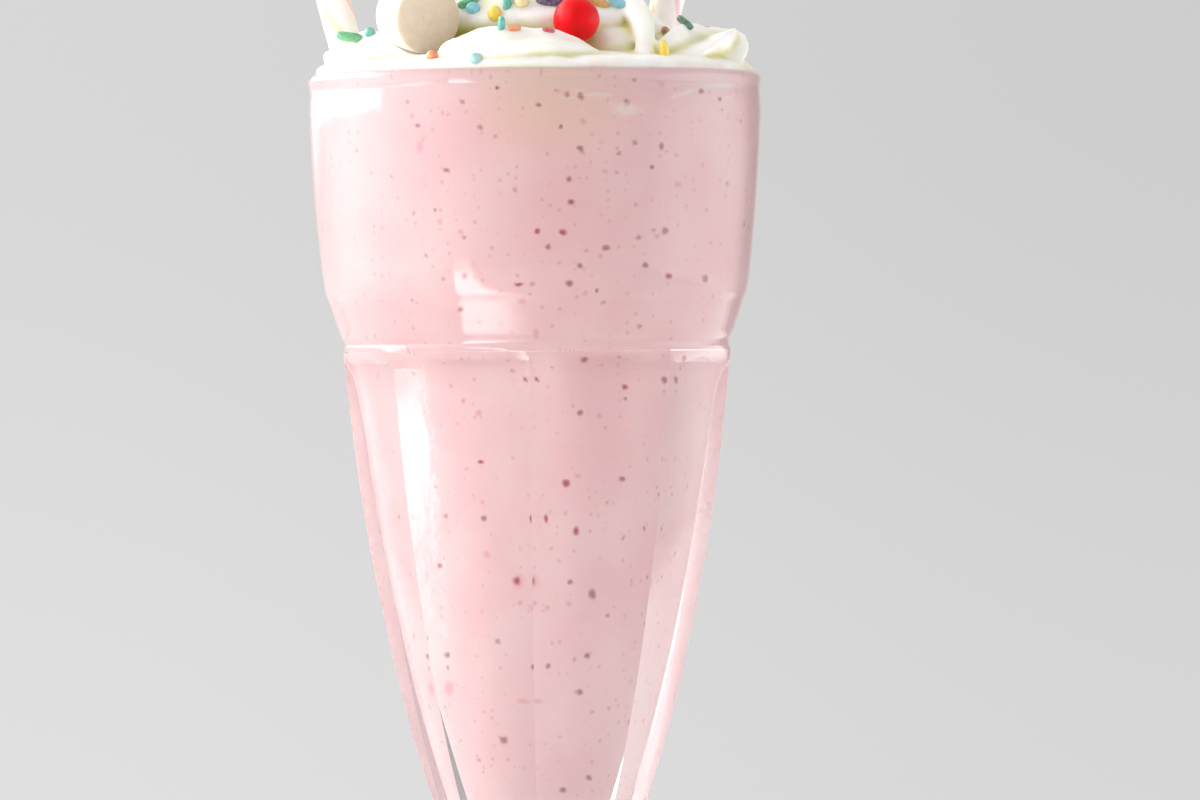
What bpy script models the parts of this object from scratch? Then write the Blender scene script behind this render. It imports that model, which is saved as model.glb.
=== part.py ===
"""A strawberry milkshake in a footed, panelled soda glass.

On it are piped whipped cream with sprinkles, a marshmallow, a red candy ball and two paper straws.
Units are metres and +Z is up. The origin is the middle of the foot's flat underside, and the front is -Y.
An azimuth is an angle round the glass seen from above: 0 is the front and 90 degrees is +X.
"""
import math
import random

import bmesh
import bpy
import numpy as np
from mathutils import Matrix, Vector
from mathutils.bvhtree import BVHTree

# Driving dimensions
GLASS_HEIGHT = 0.1832
RIM_RADIUS = 0.0421
FOOT_RADIUS = 0.0372
DRINK_TOP = 0.1803
GAP = 0.0003
PANELS = 8
SEGMENTS = 48
FIRST_RIDGE_AZIMUTH = 43.3

# Outline of the glass outside, as (radius, height) from the rim down
RIM_INSIDE = (0.0398, 0.1823)
RIM_LIP = [
    (0.0402, 0.1830),
    (0.0410, GLASS_HEIGHT),
    (0.0418, 0.1829),
    (RIM_RADIUS, 0.1822),
    (0.0420, 0.1812),
]
BOWL = [
    (0.04185, 0.1804),
    (0.0420, 0.1745),
    (0.0411, 0.1598),
    (0.0396, 0.1449),
    (0.0384, 0.1405),
    (0.0365, 0.1348),
]
WAIST = [(0.0359, 0.1337), (0.0358, 0.1328), (0.0361, 0.1318)]
PANELLED = [
    (0.0359, 0.1300),
    (0.0340, 0.1132),
    (0.0312, 0.0946),
    (0.0265, 0.0715),
    (0.0205, 0.0500),
    (0.0122, 0.0275),
]
ANKLE = [(0.0131, 0.0252), (0.0136, 0.0230), (0.0131, 0.0208), (0.0122, 0.0190)]
FOOT = [(0.0127, 0.0165), (0.0175, 0.0115), (0.0270, 0.0080), (0.0350, 0.0060)]
FOOT_EDGE = [(0.0366, 0.0048), (FOOT_RADIUS, 0.0030), (0.0368, 0.0011), (0.0358, 0.0)]
BOWL_ROWS = 7
PANEL_ROWS = 9
FOOT_ROWS = 5
PANEL_TOP = 0.1325
PANEL_FULL = 0.1295
PANEL_FADE_START = 0.0420
PANEL_FADE_END = 0.0280
# Shares of the round outline's radius: a flat panel's middle, and how deep its flute then goes
PANEL_MIDDLE = 0.9246
FLUTE_DEPTH = 0.016

# Outline of the hollow, as (radius, height) from the top down, and its round bottom
HOLLOW = [
    (0.0396, 0.1800),
    (0.0394, 0.1700),
    (0.0385, 0.1600),
    (0.0367, 0.1450),
    (0.0338, 0.1355),
    (0.0285, 0.1270),
    (0.0262, 0.1190),
    (0.0221, 0.0950),
    (0.0173, 0.0720),
    (0.0120, 0.0520),
    (0.0092, 0.0430),
]
HOLLOW_ROWS = 11
HOLLOW_BOTTOM = 0.0375
HOLLOW_BOTTOM_ROWS = 2

# Straws: the lower end of each, and its lean as x and y per unit of height
STRAW_RADIUS = 0.0031
STRAW_WALL = 0.00045
STRAW_LENGTH = 0.197
STRAW_SIDES = 24
STRAWS = {
    "straw_left": {"foot": (0.0001, -0.0067, 0.0520), "lean": (-0.2586, 0.085)},
    "straw_right": {"foot": (-0.0107, 0.0041, 0.0670), "lean": (0.274, 0.110)},
}

# Marshmallow and candy
MARSHMALLOW_RADIUS = 0.0069
MARSHMALLOW_LENGTH = 0.0105
MARSHMALLOW_EDGE = 0.0017
MARSHMALLOW_CENTRE = (-0.0213, -0.0184, 0.1935)
MARSHMALLOW_AXIS = (0.42, -0.89, -0.14)
MARSHMALLOW_SIDES = 20
CANDY_RADIUS = 0.0043
CANDY_CENTRE = (0.0079, -0.0228, 0.1925)

# Whipped cream: it fills the mouth above the drink, then lies on the rim
CREAM_BOTTOM = DRINK_TOP + GAP
CREAM_PLUG_RADIUS = 0.0393
CREAM_ON_RIM = GLASS_HEIGHT + 0.00035
CREAM_DOME = [
    (0.0, 0.1878),
    (0.0200, 0.1872),
    (0.0320, 0.1862),
    (0.0385, 0.1852),
    (0.0405, 0.1841),
    (0.0407, 0.1830),
]
CREAM_DOME_FOOT = 0.1793
CORE_OUTLINE = [(0.0, 0.2130), (0.0055, 0.2095), (0.0120, 0.2000), (0.0165, 0.1900), (0.0170, 0.1830)]
SWIRL_CENTRE = (-0.0040, 0.0040)
SWIRL_START_AZIMUTH = 85.0
SWIRL_TURNS = 1.8
SWIRL_RADIUS = 0.0137
SWIRL_END_RADIUS = 0.0062
SWIRL_OPENING = 0.0120
SWIRL_OPENING_DECAY = 0.09
SWIRL_LOW = 0.1895
SWIRL_HIGH = 0.2105
SWIRL_ROPE = 0.0082
SWIRL_END_ROPE = 0.0050
SWIRL_STATIONS = 37
SWIRL_PARTS = 3
PEAK_PATH = [
    (-0.0035, 0.0040, 0.2050),
    (-0.0045, 0.0035, 0.2150),
    (-0.0062, 0.0030, 0.2215),
    (-0.0090, 0.0034, 0.2262),
]
PEAK_SIZES = [(0.0070,), (0.0052,), (0.0026,), (0.0005,)]
PEAK_STATIONS = 9
ROPE_POINTS = 14
ROPE_GROOVE = 0.10

# The end of a stroke that hangs from the swirl to the rim in front, and the mound behind it
CURL_PATH = [
    (0.0146, -0.0080, 0.1962),
    (0.0192, -0.0150, 0.1935),
    (0.0205, -0.0220, 0.1886),
    (0.0196, -0.0272, 0.1832),
]
CURL_SIZES = [(0.0040,), (0.0025,), (0.0019,), (0.0015,)]
CURL_STATIONS = 7
CURL_FILL = [(0.0, 0.1918), (0.0035, 0.1908), (0.0062, 0.1882), (0.0078, 0.1835)]
CURL_FILL_CENTRE = (0.0142, -0.0150)
MOUND_SIDES = 20

# Strokes piped round the rim: start and end azimuth, end radius, crest height, half width, height of the lifted
# tip, depth of the ribs as a share of the radius, and twist in degrees
BORDER_STROKES = [
    (-37.0, 26.0, 0.0300, 0.1908, 0.0100, 0.1850, 0.10, 50.0),
    (44.0, 94.0, 0.0370, 0.1908, 0.0088, 0.1912, 0.20, 60.0),
    (80.0, 132.0, 0.0305, 0.1912, 0.0098, 0.1880, 0.12, 70.0),
    (120.0, 178.0, 0.0305, 0.1922, 0.0100, 0.1875, 0.12, 70.0),
    (168.0, 228.0, 0.0315, 0.1908, 0.0096, 0.1885, 0.12, 70.0),
    (218.0, 274.0, 0.0305, 0.1918, 0.0100, 0.1870, 0.12, 70.0),
    (262.0, 318.0, 0.0290, 0.1908, 0.0102, 0.1845, 0.10, 50.0),
]
STROKE_START_RADIUS = 0.0268
STROKE_MIDDLE_RADIUS = 0.0296
STROKE_HALF_HEIGHT = 0.0066
STROKE_STATIONS = 12

# Sprinkles seen from the front, as (kind, x, z, turn in degrees of a rod in the front view)
ROD_RADIUS = 0.0009
ROD_LENGTH = 0.0046
BALL_RADIUS = 0.0012
FRONT_SPRINKLES = [
    ("rod", -0.0335, 0.1893, -8.0),
    ("ball", -0.0306, 0.1903, 0.0),
    ("ball", -0.0190, 0.1860, 0.0),
    ("ball", -0.0110, 0.1858, 0.0),
    ("rod", -0.0121, 0.1965, 20.0),
    ("ball", -0.0114, 0.1948, 0.0),
    ("ball", -0.0074, 0.1938, 0.0),
    ("rod", -0.0049, 0.1958, 85.0),
    ("rod", -0.0061, 0.1912, 80.0),
    ("rod", -0.0037, 0.1906, 4.0),
    ("ball", -0.0024, 0.1960, 0.0),
    ("rod", 0.0030, 0.1960, -8.0),
    ("rod", 0.0026, 0.1902, -12.0),
    ("rod", 0.0078, 0.1972, 5.0),
    ("rod", 0.0115, 0.1961, -30.0),
    ("rod", 0.0158, 0.1957, -35.0),
    ("rod", 0.0242, 0.1862, 90.0),
    ("ball", 0.0243, 0.1908, 0.0),
    ("rod", 0.0279, 0.1905, -40.0),
]
SCATTERED_SPRINKLES = 35
SCATTER_TOP = 0.2215
SCATTER_RADIUS = 0.036
SCATTER_SEED = 11
ROD_SHARE = 0.7
ROD_SIDES = 6
SPRINKLE_SINK = 0.35
SPRINKLE_CLEARANCE = 0.0011
SPRINKLE_SPACING = 0.0052
FRONT_SPACING = 0.0022

MATERIALS = {
    "clear_glass": ((0.93, 0.96, 0.95), 0.04),
    "strawberry_shake": ((0.84, 0.55, 0.56), 0.45),
    "whipped_cream": ((0.93, 0.91, 0.84), 0.50),
    "marshmallow": ((0.92, 0.89, 0.84), 0.70),
    "red_candy": ((0.62, 0.01, 0.02), 0.25),
    "striped_paper": ((0.90, 0.78, 0.76), 0.65),
}


def clear_scene():
    """Remove every object that the file holds."""
    for old in list(bpy.data.objects):
        bpy.data.objects.remove(old, do_unlink=True)


def new_collection(name):
    """A collection in the scene, for parts, cutters or shapes that are joined."""
    made = bpy.data.collections.new(name)
    bpy.context.scene.collection.children.link(made)
    return made


def new_material(name):
    """A plain material with the colour and roughness of the real surface."""
    colour, roughness = MATERIALS[name]
    made = bpy.data.materials.new(name)
    made.use_nodes = True
    shader = made.node_tree.nodes["Principled BSDF"]
    shader.inputs["Base Color"].default_value = (*colour, 1.0)
    shader.inputs["Roughness"].default_value = roughness
    shader.inputs["Metallic"].default_value = 0.0
    return made


def new_object(name, mesh, collection):
    """An object of this mesh in the collection."""
    made = bpy.data.objects.new(name, mesh)
    collection.objects.link(made)
    return made


def mesh_from(name, points, faces):
    """A mesh of these points and faces, with its faces turned outwards."""
    mesh = bpy.data.meshes.new(name)
    mesh.from_pydata([tuple(p) for p in points], [], faces)
    body = bmesh.new()
    body.from_mesh(mesh)
    bmesh.ops.recalc_face_normals(body, faces=body.faces)
    body.to_mesh(mesh)
    body.free()
    return mesh


def shade(mesh, angle=40.0):
    """Smooth shading with sharp edges where faces meet at more than this many degrees."""
    mesh.shade_smooth()
    mesh.set_sharp_from_angle(angle=math.radians(angle))


def curve_through(points, rows):
    """Points evenly spread on a smooth Catmull-Rom curve through the given points."""
    knots = np.array(points, dtype=float)
    ends = np.vstack([2 * knots[0] - knots[1], knots, 2 * knots[-1] - knots[-2]])
    place = np.linspace(0.0, len(knots) - 1.0, rows)
    index = np.minimum(place.astype(int), len(knots) - 2)
    t = (place - index)[:, None]
    p0, p1, p2, p3 = (ends[index + k] for k in range(4))
    bend = (2 * p0 - 5 * p1 + 4 * p2 - p3) * t**2 + (3 * p1 - p0 - 3 * p2 + p3) * t**3
    return 0.5 * (2 * p1 + (p2 - p0) * t + bend)


def on_ring(azimuth, radius, height=0.0):
    """The point at this azimuth in degrees, radius and height."""
    angle = math.radians(azimuth)
    return Vector((radius * math.sin(angle), -radius * math.cos(angle), height))


def outside_outline():
    """The outline of the glass outside, from the rim to the edge of the underside."""
    bowl = curve_through(BOWL, BOWL_ROWS)
    panelled = curve_through([WAIST[-1]] + PANELLED, PANEL_ROWS)[1:]
    foot = curve_through([ANKLE[-1]] + FOOT, FOOT_ROWS)[1:]
    return np.vstack([RIM_LIP, bowl, WAIST, panelled, ANKLE, foot, FOOT_EDGE])


def hollow_outline():
    """The outline of the hollow, from the rim down, ending on the axis."""
    wall = curve_through([RIM_INSIDE] + HOLLOW, HOLLOW_ROWS)
    last_radius, last_height = wall[-1]
    drop = last_height - HOLLOW_BOTTOM
    angles = np.linspace(0.0, math.pi / 2, HOLLOW_BOTTOM_ROWS + 2)[1:]
    bottom = np.column_stack([last_radius * np.cos(angles), last_height - drop * np.sin(angles)])
    bottom[-1, 0] = 0.0
    return np.vstack([wall, bottom])


def panel_strength(height):
    """How fully the panels are formed at this height: 1 is a full flute and 0 is round."""
    start = np.clip((PANEL_TOP - height) / (PANEL_TOP - PANEL_FULL), 0.0, 1.0)
    fade = np.clip((height - PANEL_FADE_END) / (PANEL_FADE_START - PANEL_FADE_END), 0.0, 1.0)
    return start * fade


def glass_ring(radius, height, panelled):
    """One ring of points: round, or with shallow flutes between ridges."""
    half_panel = math.pi / PANELS
    ring = []
    for step in range(SEGMENTS):
        turn = 2 * math.pi * step / SEGMENTS
        local = (turn + half_panel) % (2 * half_panel) - half_panel
        flat = panel_strength(height) if panelled else 0.0
        # Ridges lie at the multiples of a panel's angle, half a panel from its middle
        across = half_panel - abs(local)
        flute = FLUTE_DEPTH * (1 - (across / half_panel) ** 2)
        reach = radius * (1 + flat * (PANEL_MIDDLE / math.cos(across) - 1 - flute))
        ring.append(on_ring(FIRST_RIDGE_AZIMUTH + math.degrees(turn), reach, height))
    return ring


def make_glass(collection):
    """The glass, lofted between its round rim, its eight panels and its round foot."""
    rows = [(r, z, False) for r, z in hollow_outline()[::-1]] + [(r, z, True) for r, z in outside_outline()]
    points = [Vector((0.0, 0.0, rows[0][1]))]
    for radius, height, panelled in rows[1:]:
        points.extend(glass_ring(radius, height, panelled))
    faces = []
    last_ring = len(rows) - 2
    for step in range(SEGMENTS):
        following = (step + 1) % SEGMENTS
        faces.append((0, 1 + step, 1 + following))
        for row in range(last_ring):
            low = 1 + row * SEGMENTS
            high = low + SEGMENTS
            faces.append((low + step, high + step, high + following, low + following))
    underside = 1 + last_ring * SEGMENTS
    faces.append(tuple(underside + step for step in range(SEGMENTS)))
    glass = new_object("glass", mesh_from("glass", points, faces), collection)
    shade(glass.data, 20.0)
    return glass


def turned(name, outline, collection, steps=SEGMENTS):
    """A solid turned from an outline that runs from the axis at the top to the axis at the bottom."""
    mesh = bpy.data.meshes.new(name)
    mesh.from_pydata([(r, 0.0, z) for r, z in outline], [(i, i + 1) for i in range(len(outline) - 1)], [])
    made = new_object(name, mesh, collection)
    screw = made.modifiers.new("turn", "SCREW")
    screw.steps = steps
    screw.render_steps = steps
    screw.use_merge_vertices = True
    screw.merge_threshold = 0.00001
    # The facets line up with those of the glass
    made.rotation_euler.z = math.radians(FIRST_RIDGE_AZIMUTH - 90.0)
    return made


def inset(outline, distance):
    """The outline moved inwards by a distance, square to itself."""
    along = np.gradient(outline, axis=0)
    along /= np.linalg.norm(along, axis=1)[:, None]
    inward = np.column_stack([along[:, 1], -along[:, 0]])
    moved = outline + distance * inward
    moved[-1] = (0.0, outline[-1, 1] + distance)
    return moved


def straw_matrix(straw):
    """Places a straw's own +Z along its lean, with its lower end at its foot."""
    lean_x, lean_y = straw["lean"]
    along = Vector((lean_x, lean_y, 1.0)).normalized()
    turn = along.to_track_quat("Z", "Y").to_matrix().to_4x4()
    return Matrix.Translation(Vector(straw["foot"])) @ turn


def make_straw(name, collection):
    """A paper tube, open at both ends."""
    inner = STRAW_RADIUS - STRAW_WALL
    corners = [(STRAW_RADIUS, STRAW_LENGTH), (STRAW_RADIUS, 0.0), (inner, 0.0), (inner, STRAW_LENGTH)]
    mesh = bpy.data.meshes.new(name)
    mesh.from_pydata([(r, 0.0, z) for r, z in corners], [(0, 1), (1, 2), (2, 3), (3, 0)], [])
    straw = new_object(name, mesh, collection)
    screw = straw.modifiers.new("turn", "SCREW")
    screw.steps = STRAW_SIDES
    screw.render_steps = STRAW_SIDES
    screw.use_merge_vertices = True
    screw.merge_threshold = 0.00001
    straw.matrix_world = straw_matrix(STRAWS[name])
    return straw


def make_straw_cutter(name, straw, collection):
    """A rod a little wider than a straw, from just below its lower end up."""
    body = bmesh.new()
    radius = STRAW_RADIUS + GAP
    length = STRAW_LENGTH + GAP
    bmesh.ops.create_cone(body, cap_ends=True, segments=STRAW_SIDES, radius1=radius, radius2=radius, depth=length)
    bmesh.ops.translate(body, verts=body.verts, vec=(0.0, 0.0, length / 2 - GAP))
    mesh = bpy.data.meshes.new(name)
    body.to_mesh(mesh)
    body.free()
    cutter = new_object(name, mesh, collection)
    cutter.matrix_world = straw_matrix(straw)
    return cutter


def marshmallow_mesh(name, grow):
    """A short soft cylinder along its own Z, grown by a distance on every side."""
    body = bmesh.new()
    radius = MARSHMALLOW_RADIUS + grow
    length = MARSHMALLOW_LENGTH + 2 * grow
    bmesh.ops.create_cone(
        body, cap_ends=True, segments=MARSHMALLOW_SIDES, radius1=radius, radius2=radius, depth=length
    )
    mesh = bpy.data.meshes.new(name)
    body.to_mesh(mesh)
    body.free()
    return mesh


def make_marshmallow(name, collection, grow=0.0):
    """The marshmallow, lying against the cream with one end turned to the front."""
    made = new_object(name, marshmallow_mesh(name, grow), collection)
    bevel = made.modifiers.new("soft_edge", "BEVEL")
    bevel.width = MARSHMALLOW_EDGE
    bevel.segments = 2
    bevel.angle_limit = math.radians(60.0)
    turn = Vector(MARSHMALLOW_AXIS).to_track_quat("Z", "Y").to_matrix().to_4x4()
    made.matrix_world = Matrix.Translation(Vector(MARSHMALLOW_CENTRE)) @ turn
    shade(made.data)
    return made


def make_candy(name, collection, grow=0.0):
    """The round candy, sunk a little into the cream."""
    body = bmesh.new()
    bmesh.ops.create_uvsphere(body, u_segments=16, v_segments=10, radius=CANDY_RADIUS + grow)
    mesh = bpy.data.meshes.new(name)
    body.to_mesh(mesh)
    body.free()
    made = new_object(name, mesh, collection)
    made.location = CANDY_CENTRE
    shade(made.data)
    return made


def rope(name, centres, wide, tall, collection, twist, groove=ROPE_GROOVE):
    """A piped rope: a ribbed section carried along a path of centres, with closed ends."""
    centres = np.asarray(centres)
    along = np.gradient(centres, axis=0)
    along /= np.linalg.norm(along, axis=1)[:, None]
    side = np.cross(along, (0.0, 0.0, 1.0))
    side /= np.linalg.norm(side, axis=1)[:, None]
    rise = np.cross(side, along)
    stations = len(centres)
    angles = np.linspace(0.0, 2 * math.pi, ROPE_POINTS, endpoint=False)
    ribs = 1 + groove * np.where(np.arange(ROPE_POINTS) % 2 == 0, 1.0, -1.0)
    turn = angles[None, :] + np.radians(twist) * np.linspace(0.0, 1.0, stations)[:, None]
    across = (np.cos(turn) * ribs)[:, :, None] * np.asarray(wide)[:, None, None] * side[:, None, :]
    upward = (np.sin(turn) * ribs)[:, :, None] * np.asarray(tall)[:, None, None] * rise[:, None, :]
    points = (centres[:, None, :] + across + upward).reshape(-1, 3)
    faces = [tuple(range(ROPE_POINTS)), tuple(range(len(points) - ROPE_POINTS, len(points)))]
    for station in range(stations - 1):
        for k in range(ROPE_POINTS):
            low = station * ROPE_POINTS
            after = (k + 1) % ROPE_POINTS
            faces.append((low + k, low + ROPE_POINTS + k, low + ROPE_POINTS + after, low + after))
    return new_object(name, mesh_from(name, points, faces), collection)


def swell(t):
    """A stroke's thickness along its length: thin where it starts, full early on, and drawn to a tip."""
    return np.sin(math.pi * t**0.85) ** 0.55


def border_stroke(index, collection):
    """One stroke of cream piped along the rim, from its low start to its lifted tip."""
    start, end, end_radius, crest, width, tip_height, groove, twist = BORDER_STROKES[index]
    t = np.linspace(0.01, 0.99, STROKE_STATIONS)
    size = np.maximum(swell(t), 0.12)
    azimuth = np.radians(start + (end - start) * t)
    corners = [(STROKE_START_RADIUS,), (STROKE_MIDDLE_RADIUS,), (end_radius,)]
    radius = curve_through(corners, STROKE_STATIONS)[:, 0]
    tall = STROKE_HALF_HEIGHT * size
    height = crest - STROKE_HALF_HEIGHT + (tip_height - crest + STROKE_HALF_HEIGHT) * t**4
    centres = np.column_stack([radius * np.sin(azimuth), -radius * np.cos(azimuth), height])
    return rope(f"border_{index}", centres, width * size, tall, collection, twist, groove)


def swirl(collection):
    """The rope of cream that winds up from the rim, in parts that each start inside the one before."""
    t = np.linspace(0.0, 1.0, SWIRL_STATIONS)
    azimuth = np.radians(SWIRL_START_AZIMUTH - 360.0 * SWIRL_TURNS * t)
    opening = SWIRL_OPENING * np.exp(-t / SWIRL_OPENING_DECAY)
    radius = SWIRL_RADIUS + (SWIRL_END_RADIUS - SWIRL_RADIUS) * t + opening
    height = SWIRL_LOW + (SWIRL_HIGH - SWIRL_LOW) * t
    size = (SWIRL_ROPE + (SWIRL_END_ROPE - SWIRL_ROPE) * t) * np.clip(t / 0.03, 0.45, 1.0) ** 0.7
    size *= np.clip((1 - t) / 0.08, 0.25, 1.0) ** 0.7
    x = SWIRL_CENTRE[0] + radius * np.sin(azimuth)
    y = SWIRL_CENTRE[1] - radius * np.cos(azimuth)
    centres = np.column_stack([x, y, height])
    length = (SWIRL_STATIONS - 1) // SWIRL_PARTS
    for part in range(SWIRL_PARTS):
        first = part * length
        begin = max(first - 1, 0)
        run = slice(begin, first + length + 1)
        nested = np.where(t[run] < t[first], 0.85, np.where((t[run] == t[first]) & (part > 0), 0.97, 1.0))
        rope(f"swirl_{part}", centres[run], size[run] * nested, size[run] * nested, collection, twist=50.0)


def peak(collection):
    """The soft tip of cream on top of the swirl."""
    centres = curve_through(PEAK_PATH, PEAK_STATIONS)
    size = curve_through(PEAK_SIZES, PEAK_STATIONS)[:, 0]
    rope("peak", centres, size, size, collection, twist=40.0)


def curl(collection):
    """The end of a stroke that hangs from the swirl down to the rim, thinner as it goes."""
    size = curve_through(CURL_SIZES, CURL_STATIONS)[:, 0]
    rope("curl", curve_through(CURL_PATH, CURL_STATIONS), size, size, collection, twist=30.0)


def bake_modifiers(thing):
    """Give the object the mesh that its modifiers make, in place, and drop them."""
    seen = thing.evaluated_get(bpy.context.evaluated_depsgraph_get())
    mesh = bpy.data.meshes.new_from_object(seen)
    mesh.transform(thing.matrix_world)
    thing.modifiers.clear()
    thing.data = mesh
    thing.matrix_world = Matrix()


def boolean(thing, operation, other, solver="EXACT"):
    """Join or cut the object with everything in the other collection, and bake it in."""
    bpy.context.view_layer.update()
    step = thing.modifiers.new(operation.lower(), "BOOLEAN")
    step.operation = operation
    step.solver = solver
    step.operand_type = "COLLECTION"
    step.collection = other
    bake_modifiers(thing)


def keep_main_body(thing):
    """Keep the largest body of faces joined by edges: scraps go, and a sealed hollow is filled."""
    body = bmesh.new()
    body.from_mesh(thing.data)
    waiting = set(body.faces)
    groups = []
    while waiting:
        front = [waiting.pop()]
        group = set(front)
        while front:
            face = front.pop()
            for edge in face.edges:
                for other in edge.link_faces:
                    if other in waiting:
                        waiting.remove(other)
                        group.add(other)
                        front.append(other)
        groups.append(group)
    groups.sort(key=len, reverse=True)
    for group in groups[1:]:
        bmesh.ops.delete(body, geom=list(group), context="FACES")
    body.to_mesh(thing.data)
    body.free()


def empty_collection(collection):
    """Remove the collection's objects and the collection."""
    for used in list(collection.objects):
        bpy.data.objects.remove(used, do_unlink=True)
    bpy.data.collections.remove(collection)


def rod_mesh():
    """A sprinkle rod along its own X, with pointed round ends."""
    half = ROD_LENGTH / 2
    angles = np.linspace(0.0, 2 * math.pi, ROD_SIDES, endpoint=False)
    points = [(-half, 0.0, 0.0)]
    for x in (-half + ROD_RADIUS * 0.5, half - ROD_RADIUS * 0.5):
        points.extend((x, ROD_RADIUS * math.cos(a), ROD_RADIUS * math.sin(a)) for a in angles)
    points.append((half, 0.0, 0.0))
    faces = []
    for k in range(ROD_SIDES):
        after = (k + 1) % ROD_SIDES
        faces.append((0, 1 + k, 1 + after))
        faces.append((1 + k, 1 + ROD_SIDES + k, 1 + ROD_SIDES + after, 1 + after))
        faces.append((1 + ROD_SIDES + k, len(points) - 1, 1 + ROD_SIDES + after))
    return mesh_from("sprinkle_rod", points, faces)


def ball_mesh():
    """A small round sprinkle."""
    body = bmesh.new()
    bmesh.ops.create_uvsphere(body, u_segments=6, v_segments=4, radius=BALL_RADIUS)
    mesh = bpy.data.meshes.new("sprinkle_ball")
    body.to_mesh(mesh)
    body.free()
    return mesh


def distance_to_straw(point, name):
    """How far a point is from a straw's surface."""
    foot = Vector(STRAWS[name]["foot"])
    along = Vector((*STRAWS[name]["lean"], 1.0)).normalized()
    offset = point - foot
    return (offset - along * offset.dot(along)).length - STRAW_RADIUS


def is_clear(point, reach):
    """Whether a sprinkle of this reach keeps clear of straws, marshmallow, candy and rim."""
    others = [distance_to_straw(point, name) for name in STRAWS]
    others.append((point - Vector(CANDY_CENTRE)).length - CANDY_RADIUS)
    marshmallow_reach = math.hypot(MARSHMALLOW_RADIUS, MARSHMALLOW_LENGTH / 2)
    others.append((point - Vector(MARSHMALLOW_CENTRE)).length - marshmallow_reach)
    others.append(point.z - GLASS_HEIGHT)
    return min(others) > reach + SPRINKLE_CLEARANCE


def place_on(point, normal, heading):
    """Places a sprinkle on the cream, flat to it and turned to a heading, a little sunk in."""
    side = (heading - normal * heading.dot(normal)).normalized()
    turn = Matrix((side, normal.cross(side), normal)).transposed().to_4x4()
    return Matrix.Translation(point) @ turn


def add_sprinkles(cream, collection):
    """Sprinkles on the cream: those seen from the front, then others scattered from above."""
    surface = BVHTree.FromObject(cream, bpy.context.evaluated_depsgraph_get())
    shapes = {"rod": rod_mesh(), "ball": ball_mesh()}
    radii = {"rod": ROD_RADIUS, "ball": BALL_RADIUS}
    reaches = {"rod": ROD_LENGTH / 2, "ball": BALL_RADIUS}
    placed = []

    def add(kind, hit, normal, heading, spacing):
        """One sprinkle, unless it is too close to another piece or sprinkle."""
        if not is_clear(hit, reaches[kind]) or any((hit - other).length < spacing for other in placed):
            return
        sunk = hit + normal * radii[kind] * (1 - 2 * SPRINKLE_SINK)
        made = new_object(f"sprinkle_{len(placed)}", shapes[kind], collection)
        made.matrix_world = place_on(sunk, normal, heading)
        placed.append(hit)

    for kind, x, z, turn in FRONT_SPRINKLES:
        hit, normal, _, _ = surface.ray_cast(Vector((x, -0.1, z)), Vector((0.0, 1.0, 0.0)))
        heading = Vector((math.cos(math.radians(turn)), 0.0, math.sin(math.radians(turn))))
        if hit is not None:
            add(kind, hit, normal, heading, FRONT_SPACING)
    draw = random.Random(SCATTER_SEED)
    wanted = len(placed) + SCATTERED_SPRINKLES
    for _ in range(SCATTERED_SPRINKLES * 12):
        if len(placed) >= wanted:
            break
        spot = on_ring(draw.uniform(0.0, 360.0), SCATTER_RADIUS * math.sqrt(draw.random()), GLASS_HEIGHT + 0.06)
        kind = "rod" if draw.random() < ROD_SHARE else "ball"
        angle = draw.uniform(0.0, math.pi)
        hit, normal, _, _ = surface.ray_cast(spot, Vector((0.0, 0.0, -1.0)))
        # Those that the front view would show lie only where they are listed above
        if hit is None or hit.z > SCATTER_TOP or (hit.y < -0.006 and hit.z < 0.1985):
            continue
        add(kind, hit, normal, Vector((math.cos(angle), math.sin(angle), 0.3)), SPRINKLE_SPACING)
    print("sprinkles on the cream:", len(placed))


def mound(name, outline, centre, foot, collection):
    """A smooth mound turned from an outline over a centre, down to its foot."""
    side = [(outline[-1][0], foot), (0.0, foot)]
    made = turned(name, [*curve_through(outline, 7), *side], collection, MOUND_SIDES)
    made.location.x, made.location.y = centre
    return made


def make_cream(collection, cutters):
    """The whipped cream with its sprinkles, as one solid."""
    shapes = new_collection("cream_strokes")
    dome = [*curve_through(CREAM_DOME, 8), (CREAM_DOME[-1][0], CREAM_DOME_FOOT), (0.0, CREAM_DOME_FOOT)]
    cream = turned("whipped_cream", dome, collection)
    mound("core", CORE_OUTLINE, SWIRL_CENTRE, CREAM_DOME_FOOT + GAP, shapes)
    mound("curl_fill", CURL_FILL, CURL_FILL_CENTRE, CREAM_DOME_FOOT + 2 * GAP, shapes)
    for index in range(len(BORDER_STROKES)):
        border_stroke(index, shapes)
    swirl(shapes)
    peak(shapes)
    curl(shapes)
    boolean(cream, "UNION", shapes)
    empty_collection(shapes)
    boolean(cream, "DIFFERENCE", cutters)
    keep_main_body(cream)
    sprinkles = new_collection("sprinkles")
    add_sprinkles(cream, sprinkles)
    boolean(cream, "UNION", sprinkles, "MANIFOLD")
    empty_collection(sprinkles)
    keep_main_body(cream)
    shade(cream.data, 50.0)
    return cream


def make_drink(collection, cutters):
    """The milkshake, which fills the hollow up to the cream and is cut round the straws."""
    wall = inset(hollow_outline(), GAP)
    side = wall[wall[:, 1] < DRINK_TOP - GAP]
    top_radius = np.interp(DRINK_TOP, wall[::-1, 1], wall[::-1, 0])
    drink = turned("milkshake", [(0.0, DRINK_TOP), (top_radius, DRINK_TOP), *side], collection)
    boolean(drink, "DIFFERENCE", cutters)
    keep_main_body(drink)
    shade(drink.data)
    return drink


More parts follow.
